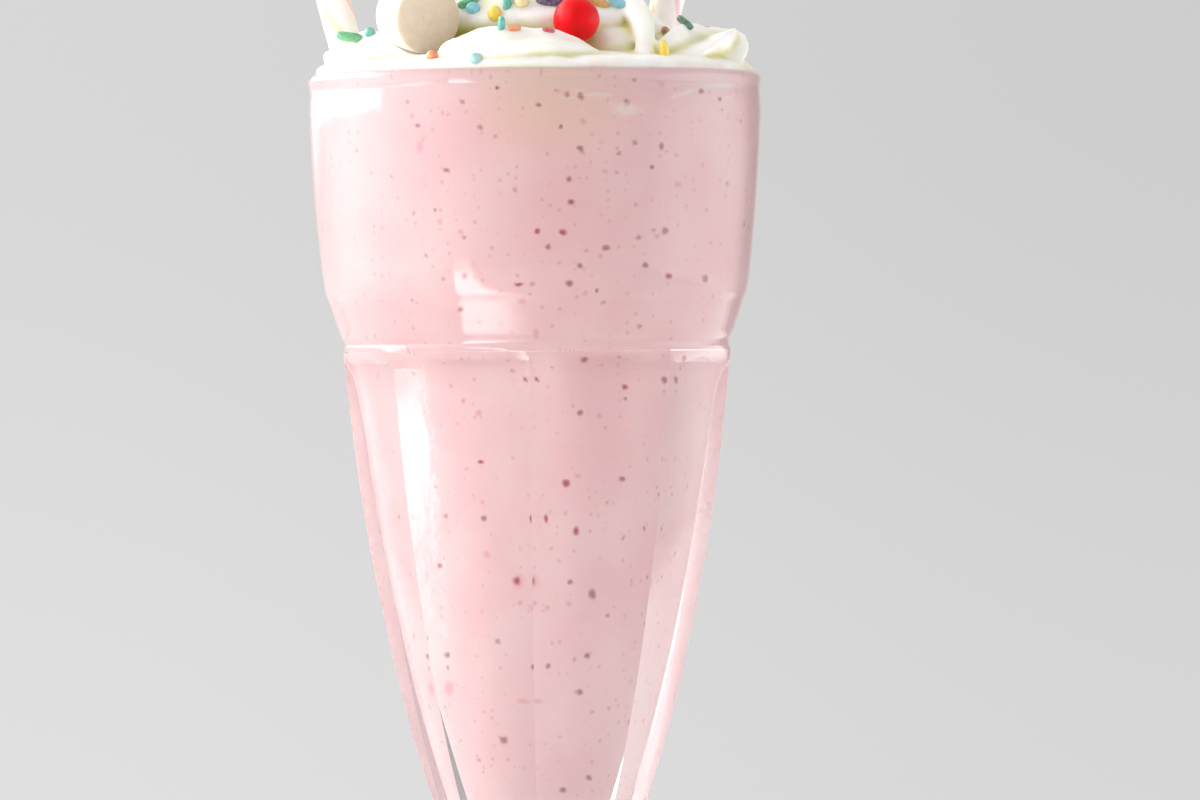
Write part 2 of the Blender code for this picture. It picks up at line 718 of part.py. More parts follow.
def make_glass_cutter(collection):
    """A block in the form of the drink and the rim, which trims the cream's underside."""
    reach = RIM_RADIUS + 0.02
    floor = DRINK_TOP - 0.02
    outline = [
        (0.0, CREAM_BOTTOM),
        (CREAM_PLUG_RADIUS, CREAM_BOTTOM),
        (CREAM_PLUG_RADIUS, CREAM_ON_RIM),
        (reach, CREAM_ON_RIM),
        (reach, floor),
        (0.0, floor),
    ]
    return turned("under_cream", outline, collection)


def hide_cutters(collection):
    """Cutters show as wires and are left out of renders."""
    for cutter in collection.objects:
        cutter.hide_render = True
        cutter.display_type = "WIRE"


def main():
    """Build every piece of the milkshake."""
    clear_scene()
    parts = new_collection("milkshake")
    straw_cutters = new_collection("straw_cutters")
    cream_cutters = new_collection("cream_cutters")
    for name in STRAWS:
        make_straw_cutter(f"{name}_in_drink", STRAWS[name], straw_cutters)
        make_straw_cutter(f"{name}_in_cream", STRAWS[name], cream_cutters)
    make_glass_cutter(cream_cutters)
    make_marshmallow("marshmallow_cutter", cream_cutters, grow=GAP)
    make_candy("candy_cutter", cream_cutters, grow=GAP)
    hide_cutters(straw_cutters)
    hide_cutters(cream_cutters)

    pieces = {
        "clear_glass": [make_glass(parts)],
        "strawberry_shake": [make_drink(parts, straw_cutters)],
        "whipped_cream": [make_cream(parts, cream_cutters)],
        "marshmallow": [make_marshmallow("marshmallow", parts)],
        "red_candy": [make_candy("red_candy", parts)],
        "striped_paper": [make_straw(name, parts) for name in STRAWS],
    }
    for material_name, objects in pieces.items():
        material = new_material(material_name)
        for piece in objects:
            piece.data.materials.clear()
            piece.data.materials.append(material)
    empty_collection(straw_cutters)
    empty_collection(cream_cutters)


main()
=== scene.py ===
# %% [markdown]
# # A strawberry milkshake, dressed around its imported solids
#
# The solids already have the right places and sizes: a footed soda glass with eight fluted panels, the
# shake inside it, whipped cream with sprinkles, a marshmallow, a red candy ball and two paper straws. This
# lesson gives each of them its fine surface and its finish. A real glass is smooth, so its facets have to
# go; cream is soft and ribbed by the nozzle; sugar, paper and powder each have their own grain. Every new
# piece is a formula on a grid of two parameters, worked out with numpy as whole arrays.

import math
import random

import bmesh
import bpy
import numpy as np
from mathutils import Matrix, Vector
from mathutils.bvhtree import BVHTree


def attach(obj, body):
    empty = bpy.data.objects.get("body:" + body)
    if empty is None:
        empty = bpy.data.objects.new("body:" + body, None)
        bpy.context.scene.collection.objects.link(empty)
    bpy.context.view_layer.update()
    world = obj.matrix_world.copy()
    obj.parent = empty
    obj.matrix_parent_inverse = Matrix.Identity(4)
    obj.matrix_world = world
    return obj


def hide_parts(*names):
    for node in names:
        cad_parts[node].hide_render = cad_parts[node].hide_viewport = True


GLASS_HEIGHT = 0.1832
DRINK_TOP = 0.1803

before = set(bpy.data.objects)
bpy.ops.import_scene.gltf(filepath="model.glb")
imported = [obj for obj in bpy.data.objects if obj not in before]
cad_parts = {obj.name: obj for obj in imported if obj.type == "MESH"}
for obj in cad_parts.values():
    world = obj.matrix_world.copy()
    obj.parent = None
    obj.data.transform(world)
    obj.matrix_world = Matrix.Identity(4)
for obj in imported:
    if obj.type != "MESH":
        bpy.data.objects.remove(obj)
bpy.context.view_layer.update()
print("nodes:", ", ".join(sorted(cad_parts)))

# %% [markdown]
# ## The camera
# The photo looks at the glass nearly level, from about a metre and a half, through a long lens. A long lens
# keeps the sides of the glass almost parallel. One pixel of the photo is 0.186 mm at the glass, and that
# sets the lens. The picture is also rolled by a little less than half a degree, so the camera is too.

# %% Set up the camera
PHOTO_WIDTH = 1200
METRES_PER_PIXEL = 0.0001862
CAMERA_PLACE = Vector((0.0117, -1.6, 0.1356))
CAMERA_AIM = Vector((0.0117, 0.0, 0.1225))
CAMERA_ROLL = math.radians(0.44)
SENSOR_WIDTH = 36.0


def make_camera():
    """A camera whose picture is as wide as the photo is at the glass, turned a little about its own axis."""
    data = bpy.data.cameras.new("photo_camera")
    data.sensor_width = SENSOR_WIDTH
    distance = (CAMERA_AIM - CAMERA_PLACE).length
    data.lens = SENSOR_WIDTH * distance / (PHOTO_WIDTH * METRES_PER_PIXEL)
    data.clip_start = 0.05
    data.clip_end = 50.0
    camera = bpy.data.objects.new("photo_camera", data)
    bpy.context.scene.collection.objects.link(camera)
    look = (CAMERA_AIM - CAMERA_PLACE).to_track_quat("-Z", "Y").to_matrix()
    turn = look @ Matrix.Rotation(-CAMERA_ROLL, 3, "Z")
    camera.matrix_world = Matrix.Translation(CAMERA_PLACE) @ turn.to_4x4()
    bpy.context.scene.camera = camera
    return camera


camera = make_camera()
print(f"lens {camera.data.lens:.0f} mm")

# %% [markdown]
# ## Building shader nodes
# A material in Blender is a small graph. Two helpers keep its description short: one adds a node and fills
# its sockets with values or with other nodes' outputs, and one starts a material with its Principled
# shader. Colours are given as they look on screen, and turned into the linear values that the renderer
# works with.

# %% Node helpers


def linear(*shown):
    """Screen colour from 0 to 255 as linear light: (c + 0.055) / 1.055 to the power 2.4, or c / 12.92 if dark."""
    values = np.array(shown[:3], float) / 255.0
    light = np.where(values <= 0.04045, values / 12.92, ((values + 0.055) / 1.055) ** 2.4)
    return (*light.tolist(), 1.0)


def add(tree, kind, sockets=None, **settings):
    """A node of this kind. Its sockets take plain values or the outputs of other nodes."""
    node = tree.nodes.new("ShaderNode" + kind)
    for name, value in settings.items():
        setattr(node, name, value)
    for name, value in (sockets or {}).items():
        if isinstance(value, bpy.types.NodeSocket):
            tree.links.new(value, node.inputs[name])
        else:
            node.inputs[name].default_value = value
    return node


def new_finish(name, **values):
    """A material and its Principled shader, with these values on the shader's own sockets."""
    finish = bpy.data.materials.new(name)
    finish.use_nodes = True
    shader = finish.node_tree.nodes["Principled BSDF"]
    for socket, value in values.items():
        shader.inputs[socket.replace("_", " ")].default_value = value
    return finish, finish.node_tree, shader


def on_object(tree):
    """The coordinates of the surface in metres."""
    return add(tree, "TexCoord").outputs["Object"]


def mixed(tree, factor, first, second, kind="MIX"):
    """The colour between two colours, by a factor."""
    node = add(tree, "Mix", data_type="RGBA", blend_type=kind)
    for socket, value in zip((node.inputs[0], node.inputs[6], node.inputs[7]), (factor, first, second)):
        if isinstance(value, bpy.types.NodeSocket):
            tree.links.new(value, socket)
        else:
            socket.default_value = value
    return node.outputs[2]


def between(tree, value, low, high, first=0.0, last=1.0):
    """The value's place between low and high, smoothly carried over to first and last."""
    sockets = {"Value": value, "From Min": low, "From Max": high, "To Min": first, "To Max": last}
    return add(tree, "MapRange", sockets, interpolation_type="SMOOTHSTEP").outputs["Result"]


def maths(tree, operation, *values):
    """The result of a Math node on up to three values."""
    return add(tree, "Math", dict(enumerate(values)), operation=operation).outputs[0]


def vector_maths(tree, operation, *vectors):
    """The vector that a Vector Math node makes of up to three vectors."""
    return add(tree, "VectorMath", dict(enumerate(vectors)), operation=operation).outputs[0]


def length_of(tree, vector):
    """The length of a vector."""
    return add(tree, "VectorMath", {0: vector}, operation="LENGTH").outputs["Value"]


def times(tree, first, second):
    """The product of two values."""
    return maths(tree, "MULTIPLY", first, second)


def unseen(tree):
    """1 for every ray but those that come straight from the camera."""
    return maths(tree, "SUBTRACT", 1.0, add(tree, "LightPath").outputs["Is Camera Ray"])


print("node helpers ready")

# %% [markdown]
# ## Shared effects
# Five effects come back in several places, so each is a node group that is built once: *mottle* is a slow
# change from place to place, *grain* is a fine relief for a Bump node, *specks* scatters small round marks
# of uneven size, as fruit leaves in a shake, *spot* is one soft oval, and *smears* are thin streaks. A
# group gives out masks and values only; the shader stays in each material.

# %% Shared node groups
SPECK_JOSTLE = 0.35
SMEAR_FLATNESS = 3.2
SMEAR_EDGE = 0.07


def new_group(name, inputs, outputs):
    """An empty node group with these float or vector inputs and float outputs."""
    group = bpy.data.node_groups.new(name, "ShaderNodeTree")
    for label, value in inputs.items():
        kind = "NodeSocketVector" if value is None else "NodeSocketFloat"
        socket = group.interface.new_socket(label, in_out="INPUT", socket_type=kind)
        if value is not None:
            socket.default_value = value
    for label in outputs:
        group.interface.new_socket(label, in_out="OUTPUT", socket_type="NodeSocketFloat")
    return group, group.nodes.new("NodeGroupInput").outputs, group.nodes.new("NodeGroupOutput").inputs


def scaled(tree, vector, size):
    """The coordinates counted in steps of a size in metres."""
    share = maths(tree, "DIVIDE", 1.0, size)
    return add(tree, "VectorMath", {0: vector, "Scale": share}, operation="SCALE").outputs[0]


def jostled(tree, vector, noise, reach):
    """The coordinates moved by a noise's three values, counted from their middle, times a reach."""
    centred = vector_maths(tree, "SUBTRACT", noise, (0.5, 0.5, 0.5))
    return vector_maths(tree, "MULTIPLY_ADD", centred, (reach, reach, reach), vector)


def make_mottle():
    """Noise of one size with its contrast raised: 0 and 1 are the extremes."""
    group, given, out = new_group("mottle", {"Vector": None, "Size": 0.01, "Contrast": 0.2}, ["Mask"])
    place = scaled(group, given["Vector"], given["Size"])
    noise = add(group, "TexNoise", {"Vector": place, "Scale": 1.0, "Detail": 3.0}).outputs[0]
    low = maths(group, "SUBTRACT", 0.5, given["Contrast"])
    high = maths(group, "ADD", 0.5, given["Contrast"])
    group.links.new(between(group, noise, low, high), out["Mask"])
    return group


def make_grain():
    """Two sizes of fine noise, one a quarter of the other, as a height from 0 to 1."""
    group, given, out = new_group("grain", {"Vector": None, "Size": 0.001, "Fine": 0.4}, ["Height"])
    place = scaled(group, given["Vector"], given["Size"])
    coarse = add(group, "TexNoise", {"Vector": place, "Scale": 1.0, "Detail": 4.0}).outputs[0]
    fine = add(group, "TexNoise", {"Vector": place, "Scale": 4.0, "Detail": 2.0}).outputs[0]
    blend = add(group, "Mix", {0: given["Fine"], 2: coarse, 3: fine}, data_type="FLOAT").outputs[0]
    group.links.new(blend, out["Height"])
    return group


def make_specks():
    """Marks round the points of a jittered lattice: each has its own radius, and only a share is kept."""
    inputs = {"Vector": None, "Spacing": 0.004, "Radius": 0.2, "Share": 0.5, "Edge": 0.04}
    group, given, out = new_group("specks", inputs, ["Mask", "Tone"])
    place = scaled(group, given["Vector"], given["Spacing"])
    warp = add(group, "TexNoise", {"Vector": place, "Scale": 2.6, "Detail": 2.0}).outputs[1]
    cells = add(group, "TexVoronoi", {"Vector": jostled(group, place, warp, SPECK_JOSTLE), "Scale": 1.0})
    parts = add(group, "SeparateColor", {"Color": cells.outputs["Color"]}).outputs
    squared = times(group, parts["Red"], parts["Red"])
    radius = times(group, given["Radius"], between(group, squared, 0.0, 1.0, 0.35, 1.0))
    inner = maths(group, "SUBTRACT", radius, given["Edge"])
    mark = between(group, cells.outputs["Distance"], inner, radius, 1.0, 0.0)
    kept = maths(group, "LESS_THAN", parts["Green"], given["Share"])
    group.links.new(times(group, mark, kept), out["Mask"])
    group.links.new(parts["Blue"], out["Tone"])
    return group


def make_spot():
    """One soft oval mark round a centre, with half sizes along the three axes."""
    group, given, out = new_group("spot", {"Vector": None, "Centre": None, "Size": None}, ["Mask"])
    moved = vector_maths(group, "SUBTRACT", given["Vector"], given["Centre"])
    oval = vector_maths(group, "DIVIDE", moved, given["Size"])
    away = length_of(group, oval)
    group.links.new(between(group, away, 0.2, 1.0, 1.0, 0.0), out["Mask"])
    return group


def make_smears():
    """Streaks along level lines: noise on coordinates pressed flat, with only its peaks kept."""
    group, given, out = new_group("smears", {"Vector": None, "Size": 0.01, "Level": 0.6}, ["Mask"])
    place = scaled(group, given["Vector"], given["Size"])
    flat = vector_maths(group, "MULTIPLY", place, (1.0, 1.0, SMEAR_FLATNESS))
    wavy = {"Vector": flat, "Scale": 1.0, "Detail": 4.0, "Distortion": 0.6}
    noise = add(group, "TexNoise", wavy).outputs[0]
    high = maths(group, "ADD", given["Level"], SMEAR_EDGE)
    group.links.new(between(group, noise, given["Level"], high), out["Mask"])
    return group


EFFECTS = {
    "mottle": make_mottle(),
    "grain": make_grain(),
    "specks": make_specks(),
    "spot": make_spot(),
    "smears": make_smears(),
}


def effect(tree, name, **values):
    """One of the shared effects in a material, with its own values."""
    node = tree.nodes.new("ShaderNodeGroup")
    node.node_tree = EFFECTS[name]
    for label, value in values.items():
        if isinstance(value, bpy.types.NodeSocket):
            tree.links.new(value, node.inputs[label])
        else:
            node.inputs[label].default_value = value
    return node.outputs


def bump(tree, shader, height, strength, depth):
    """A Bump node on the shader's normal: the depth is in metres."""
    node = add(tree, "Bump", {"Height": height, "Strength": strength, "Distance": depth})
    tree.links.new(node.outputs["Normal"], shader.inputs["Normal"])


print("shared effects:", ", ".join(EFFECTS))

# %% [markdown]
# ## The finishes
# *Glass* is clear, with the faint waves that a press leaves and an almost invisible film on it. *Shake* is
# an even pale pink with dark red seeds and pulp, and cream smeared up the wall near the rim. *Cream* lets
# light in, and its hollows carry a painted yellowish shade. *Marshmallow* is powdered, with a painted shade
# on its ends. *Candy* has a hard sugar shell. *Straw paper* has pale stripes that follow the wrap, so it
# reads the straw's own UV map. *Sprinkles* share one finish, and read their colour from an attribute,
# because hundreds of colours in one mesh are simpler than hundreds of materials.

# %% Finish of the glass


def glass_finish():
    """Clear pressed glass with slow waves and a faint film."""
    finish, tree, shader = new_finish("clear_glass", Transmission_Weight=1.0, IOR=1.5, Metallic=0.0)
    place = on_object(tree)
    film = effect(tree, "mottle", Vector=place, Size=0.02, Contrast=0.18)["Mask"]
    tint = mixed(tree, film, (1.0, 1.0, 1.0, 1.0), (0.985, 0.995, 0.99, 1.0))
    tree.links.new(tint, shader.inputs["Base Color"])
    tree.links.new(between(tree, film, 0.0, 1.0, 0.0, 0.03), shader.inputs["Roughness"])
    waves = effect(tree, "grain", Vector=place, Size=0.012, Fine=0.1)["Height"]
    bump(tree, shader, waves, 0.12, 0.0004)
    return finish


# %% Finish of the shake
DRINK_PALE = linear(252, 218, 218)
DRINK_DEEP = linear(250, 207, 209)
SEED_BROWN = linear(152, 72, 80)
DUST_MAUVE = linear(214, 146, 152)
SEED_RED = linear(176, 22, 62)
PULP_PINK = linear(232, 150, 164)
CREAM_WHITE = linear(250, 244, 238)
# Middle, half sizes and lean in degrees of each smear, as seen from the front
CREAM_SMEARS = [
    ((0.0165, -0.038, 0.1758), (0.0042, 0.012, 0.0016), -6.0),
    ((0.0268, -0.032, 0.1786), (0.0038, 0.012, 0.0008), 22.0),
    ((0.0340, -0.023, 0.1803), (0.0045, 0.014, 0.0006), 5.0),
    ((-0.0215, -0.036, 0.1806), (0.0050, 0.014, 0.0006), 4.0),
]
# Spacing, radius, share that is kept or None where it follows the crowding, edge, strength and colour
FRUIT_LAYERS = [
    (0.0085, 0.19, 0.4, 0.14, 0.5, PULP_PINK),
    (0.0015, 0.42, None, 0.34, 0.45, DUST_MAUVE),
    (0.0031, 0.27, None, 0.25, 0.6, SEED_BROWN),
]
BIT_STRENGTH = 0.9
TAN_CENTRE, TAN_SIZE, TAN_STRENGTH = (0.003, -0.038, 0.177), (0.019, 0.03, 0.013), 0.8
SMEAR_HEIGHTS, THIN_SMEAR, THICK_SMEAR = (0.1735, 0.1790), 0.45, 0.55
MARK_COLOURS = {"pulp": PULP_PINK, "brown": SEED_BROWN, "red": SEED_RED}
MARK_STRENGTH = {"pulp": 0.5, "brown": 0.72, "red": 0.85}
MARK_DEPTH = 0.008
TORN_SIZE, TORN_REACH = 0.0016, 0.0007
TAN_TINT = linear(246, 214, 196)


def fruit_marks(tree, place, colour, marks):
    """The noted marks, each a small oval round its place on the wall, with an edge torn by noise."""
    noise = add(tree, "TexNoise", {"Vector": scaled(tree, place, TORN_SIZE), "Scale": 1.0}).outputs[1]
    torn = jostled(tree, place, noise, TORN_REACH)
    for kind, places in marks.items():
        whole = 0.0
        for centre, wide, tall in places:
            mask = effect(tree, "spot", Vector=torn, Centre=centre, Size=(wide, MARK_DEPTH, tall))["Mask"]
            whole = maths(tree, "MAXIMUM", whole, mask)
        colour = mixed(tree, times(tree, whole, MARK_STRENGTH[kind]), colour, MARK_COLOURS[kind])
    return colour


def smeared_spot(tree, place, centre, half_size, lean):
    """A soft oval with a torn edge: 1 in its middle, fading out at a noisy distance of about a half size."""
    moved = vector_maths(tree, "SUBTRACT", place, centre)
    turn = {"Vector": moved, "Angle": math.radians(lean)}
    turned = add(tree, "VectorRotate", turn, rotation_type="Y_AXIS").outputs[0]
    oval = vector_maths(tree, "DIVIDE", turned, half_size)
    away = length_of(tree, oval)
    torn = effect(tree, "grain", Vector=place, Size=0.0035, Fine=0.3)["Height"]
    edge = maths(tree, "MULTIPLY_ADD", torn, 1.6, away)
    return between(tree, edge, 1.15, 1.85, 1.0, 0.0)


def shake_finish(marks):
    """Pale pink, warmer near the top, with fruit of several sizes and smears of cream just under the rim."""
    finish, tree, shader = new_finish("strawberry_shake", Roughness=0.5, Subsurface_Weight=0.15)
    shader.inputs["Subsurface Radius"].default_value = (1.0, 0.45, 0.4)
    shader.inputs["Subsurface Scale"].default_value = 0.003
    place = on_object(tree)
    cloud = effect(tree, "mottle", Vector=place, Size=0.016, Contrast=0.2)["Mask"]
    colour = mixed(tree, cloud, DRINK_PALE, DRINK_DEEP)
    tan = effect(tree, "spot", Vector=place, Centre=TAN_CENTRE, Size=TAN_SIZE)["Mask"]
    colour = mixed(tree, times(tree, tan, TAN_STRENGTH), colour, TAN_TINT)
    crowd = effect(tree, "mottle", Vector=place, Size=0.03, Contrast=0.15)["Mask"]
    crowding = between(tree, crowd, 0.0, 1.0, 0.55, 1.0)
    for spacing, radius, kept, edge, strength, tint in FRUIT_LAYERS:
        share = crowding if kept is None else kept
        layer = effect(tree, "specks", Vector=place, Spacing=spacing, Radius=radius, Share=share, Edge=edge)
        colour = mixed(tree, times(tree, layer["Mask"], strength), colour, tint)
    bits = effect(tree, "specks", Vector=place, Spacing=0.0058, Radius=0.15, Share=0.4, Edge=0.12)
    bit = mixed(tree, bits["Tone"], SEED_BROWN, SEED_RED)
    colour = mixed(tree, times(tree, bits["Mask"], BIT_STRENGTH), colour, bit)
    colour = fruit_marks(tree, place, colour, marks)
    height = add(tree, "SeparateXYZ", {0: place}).outputs["Z"]
    near_rim = between(tree, height, *SMEAR_HEIGHTS)
    smear = effect(tree, "smears", Vector=place, Size=0.012, Level=0.64)["Mask"]
    colour = mixed(tree, times(tree, times(tree, smear, near_rim), THIN_SMEAR), colour, CREAM_WHITE)
    for centre, half_size, lean in CREAM_SMEARS:
        thick = smeared_spot(tree, place, centre, half_size, lean)
        colour = mixed(tree, times(tree, thick, THICK_SMEAR), colour, CREAM_WHITE)
    tree.links.new(colour, shader.inputs["Base Color"])
    grain = effect(tree, "grain", Vector=place, Size=0.0012, Fine=0.5)["Height"]
    bump(tree, shader, grain, 0.2, 0.00005)
    return finish


# %% Finish of the cream
CREAM_LIT = linear(252, 250, 246)
# The darker yellow of painted shade in the cream's hollows, also used a little as random tone.
CREAM_TONE_AND_PAINTED_SHADE = linear(215, 211, 130)
CREAM_STAIN = linear(240, 205, 200)


def cream_finish():
    """Soft white with light going in, a painted yellowish shade in its hollows, and very fine pores."""
    finish, tree, shader = new_finish("whipped_cream", Roughness=0.42, Subsurface_Weight=0.6)
    shader.inputs["Subsurface Radius"].default_value = (1.0, 0.95, 0.6)
    shader.inputs["Subsurface Scale"].default_value = 0.003
    place = on_object(tree)
    # Painted shade: the hollow attribute turns the colour to a darker yellow in creases and hollows; random
    # patches take a little of the same yellow as tone.
    hollow = add(tree, "Attribute", attribute_name="hollow").outputs["Fac"]
    patch = effect(tree, "mottle", Vector=place, Size=0.006, Contrast=0.2)["Mask"]
    colour = mixed(tree, times(tree, patch, 0.14), CREAM_LIT, CREAM_TONE_AND_PAINTED_SHADE)
    colour = mixed(tree, hollow, colour, CREAM_TONE_AND_PAINTED_SHADE)
    height = add(tree, "SeparateXYZ", {0: place}).outputs["Z"]
    foot = between(tree, height, GLASS_HEIGHT, GLASS_HEIGHT + 0.0022, 1.0, 0.0)
    stain = effect(tree, "mottle", Vector=place, Size=0.009, Contrast=0.12)["Mask"]
    colour = mixed(tree, times(tree, times(tree, foot, stain), 0.6), colour, CREAM_STAIN)
    tree.links.new(colour, shader.inputs["Base Color"])
    pores = effect(tree, "grain", Vector=place, Size=0.0009, Fine=0.5)["Height"]
    tree.links.new(between(tree, pores, 0.3, 0.7, 0.36, 0.52), shader.inputs["Roughness"])
    bump(tree, shader, pores, 0.35, 0.00012)
    return finish


# %% Finish of the marshmallow and the candy
MARSHMALLOW_SIDE = linear(244, 236, 222), linear(250, 245, 236)
# The darker tan of the ends is painted shade.
MARSHMALLOW_END_PAINTED_SHADE = linear(210, 194, 172), linear(220, 205, 184)
CANDY_REDS = linear(240, 2, 16), linear(216, 0, 12)


def marshmallow_finish():
    """Matt white under a dusting of starch, with shallow pits, and a painted darker tan shade on its ends."""
    finish, tree, shader = new_finish("marshmallow", Subsurface_Weight=0.4)
    shader.inputs["Subsurface Radius"].default_value = (1.0, 0.85, 0.6)
    shader.inputs["Subsurface Scale"].default_value = 0.002
    place = on_object(tree)
    powder = effect(tree, "mottle", Vector=place, Size=0.0016, Contrast=0.3)["Mask"]
    # Painted shade: the ends take a darker tan, as they face away from the light.
    end_painted_shade = add(tree, "Attribute", attribute_name="end_painted_shade").outputs["Fac"]
    side = mixed(tree, powder, *MARSHMALLOW_SIDE)
    end = mixed(tree, powder, *MARSHMALLOW_END_PAINTED_SHADE)
    colour = mixed(tree, end_painted_shade, side, end)
    tree.links.new(colour, shader.inputs["Base Color"])
    tree.links.new(between(tree, powder, 0.0, 1.0, 0.62, 0.85), shader.inputs["Roughness"])
    pits = effect(tree, "grain", Vector=place, Size=0.0007, Fine=0.5)["Height"]
    bump(tree, shader, pits, 0.5, 0.0002)
    return finish


def candy_finish():
    """A hard red sugar shell with a polished coat, a touch uneven in colour and relief."""
    gloss = {"Roughness": 0.4, "Coat_Roughness": 0.22, "Specular_IOR_Level": 0.12}
    finish, tree, shader = new_finish("red_candy", **gloss)
    place = on_object(tree)
    patch = effect(tree, "mottle", Vector=place, Size=0.0022, Contrast=0.2)["Mask"]
    colour = mixed(tree, patch, *CANDY_REDS)
    tree.links.new(colour, shader.inputs["Base Color"])
    tree.links.new(between(tree, patch, 0.0, 1.0, 0.12, 0.25), shader.inputs["Coat Weight"])
    shell = effect(tree, "grain", Vector=place, Size=0.0014, Fine=0.2)["Height"]
    bump(tree, shader, shell, 0.2, 0.0001)
    return finish


# %% Finish of the straws and the sprinkles
PAPER_WHITE, STRIPE_PINK, STRIPE_CREAM = (246, 241, 240), (247, 200, 208), (241, 216, 180)
# Where each stripe starts, as a share of the repeat, and its colour
STRAW_STRIPES = [
    (0.0, PAPER_WHITE),
    (0.30, STRIPE_PINK),
    (0.42, PAPER_WHITE),
    (0.66, STRIPE_CREAM),
    (0.82, PAPER_WHITE),
]
FIBRE_GREY = linear(228, 218, 210)
STRIPE_REPEATS = 2.0
STRIPE_LEAN = 0.45


def straw_finish():
    """White paper with pale pink and cream stripes that lean along the wrap, and paper fibres."""
    finish, tree, shader = new_finish("striped_paper", Roughness=0.6)
    wrap = add(tree, "UVMap", uv_map="wrap").outputs[0]
    parts = add(tree, "SeparateXYZ", {0: wrap}).outputs
    lean = maths(tree, "MULTIPLY_ADD", parts["Y"], STRIPE_LEAN, parts["X"])
    share = maths(tree, "FRACT", times(tree, lean, STRIPE_REPEATS))
    ramp = add(tree, "ValToRGB", {"Fac": share}).color_ramp
    ramp.interpolation = "CONSTANT"
    while len(ramp.elements) < len(STRAW_STRIPES):
        ramp.elements.new(0.5)
    for element, (position, shown) in zip(ramp.elements, STRAW_STRIPES):
        element.position = position
        element.color = linear(*shown)
    stripes = tree.nodes["Color Ramp"].outputs["Color"]
    place = on_object(tree)
    fibre = effect(tree, "grain", Vector=place, Size=0.0008, Fine=0.6)["Height"]
    colour = mixed(tree, between(tree, fibre, 0.35, 0.7, 0.0, 0.25), stripes, FIBRE_GREY)
    tree.links.new(colour, shader.inputs["Base Color"])
    bump(tree, shader, fibre, 0.35, 0.0001)
    return finish


def sprinkle_finish():
    """Coloured sugar with a dull polish: the colour is the piece's own attribute, a little blotched."""
    finish, tree, shader = new_finish("sugar_sprinkles", Roughness=0.38, Coat_Roughness=0.2)
    place = on_object(tree)
    own = add(tree, "Attribute", attribute_name="sugar_colour").outputs["Color"]
    patch = effect(tree, "mottle", Vector=place, Size=0.0007, Contrast=0.2)["Mask"]
    colour = mixed(tree, times(tree, patch, 0.16), own, (1.0, 1.0, 1.0, 1.0))
    tree.links.new(colour, shader.inputs["Base Color"])
    tree.links.new(between(tree, patch, 0.0, 1.0, 0.15, 0.4), shader.inputs["Coat Weight"])
    grain = effect(tree, "grain", Vector=place, Size=0.0005, Fine=0.4)["Height"]
    bump(tree, shader, grain, 0.3, 0.00006)
    return finish


FINISHES = {
    "clear_glass": glass_finish(),
    "whipped_cream": cream_finish(),
    "marshmallow": marshmallow_finish(),
    "red_candy": candy_finish(),
    "striped_paper": straw_finish(),
    "sugar_sprinkles": sprinkle_finish(),
}
print("finishes:", ", ".join(FINISHES))

# %% [markdown]
# ## Surfaces from grids
# Nearly every piece here is a grid of points bent into shape: rows run along the piece and columns run
# round it. The columns join up into rings. A piece may end in a pole, which is one point that closes the
# last ring. The faces depend only on how many rows and columns there are, so they are worked out once, as
# arrays.

# %% Grid helpers


def curve_through(points, rows):
    """Points evenly spread on a smooth Catmull-Rom curve through the given points."""
    knots = np.array(points, dtype=float)
    ends = np.vstack([2 * knots[0] - knots[1], knots, 2 * knots[-1] - knots[-2]])
    place = np.linspace(0.0, len(knots) - 1.0, rows)
    index = np.minimum(place.astype(int), len(knots) - 2)
    t = (place - index)[:, None]
    p0, p1, p2, p3 = (ends[index + k] for k in range(4))
    bend = 2 * p0 - 5 * p1 + 4 * p2 - p3
    twist = 3 * p1 - p0 - 3 * p2 + p3
    return 0.5 * (2 * p1 + (p2 - p0) * t + bend * t**2 + twist * t**3)


def ring_faces(rows, columns):
    """Quads between neighbouring rings: a corner's number is its row times the columns, plus its column."""
    row, column = np.mgrid[0 : rows - 1, 0:columns]
    after = (column + 1) % columns
    low = row * columns
    quads = np.stack([low + column, low + after, low + columns + after, low + columns + column], axis=-1)
    return quads.reshape(-1, 4)


def pole_faces(ring_start, columns, pole, upward):
    """Triangles from one ring to a pole."""
    column = np.arange(columns)
    after = (column + 1) % columns
    ends = (column, after) if upward else (after, column)
    return np.stack([ring_start + ends[0], ring_start + ends[1], np.full(columns, pole)], axis=-1)


def mesh_of(name, points, quads, triangles=()):
    """A mesh of these points, quads and triangles, with its faces turned outwards."""
    mesh = bpy.data.meshes.new(name)
    groups = [np.asarray(group) for group in (quads, triangles) if len(group)]
    corners = np.concatenate([group.ravel() for group in groups])
    sizes = np.concatenate([np.full(len(group), group.shape[1]) for group in groups])
    mesh.vertices.add(len(points))
    mesh.vertices.foreach_set("co", np.asarray(points, np.float32).ravel())
    mesh.loops.add(len(corners))
    mesh.loops.foreach_set("vertex_index", corners.astype(np.int32))
    mesh.polygons.add(len(sizes))
    mesh.polygons.foreach_set("loop_start", (np.cumsum(sizes) - sizes).astype(np.int32))
    mesh.update(calc_edges=True)
    mesh.validate()
    body = bmesh.new()
    body.from_mesh(mesh)
    bmesh.ops.recalc_face_normals(body, faces=body.faces)
    body.to_mesh(mesh)
    body.free()
    return mesh


def tube_mesh(name, grid):
    """A closed skin over a grid of rings, with a pole in the middle of its first and of its last ring."""
    rows, columns = grid.shape[:2]
    poles = grid[[0, -1]].mean(axis=1)
    points = np.vstack([grid.reshape(-1, 3), poles])
    first, last = rows * columns, rows * columns + 1
    ends = [pole_faces(0, columns, first, False), pole_faces((rows - 1) * columns, columns, last, True)]
    return mesh_of(name, points, ring_faces(rows, columns), np.vstack(ends))


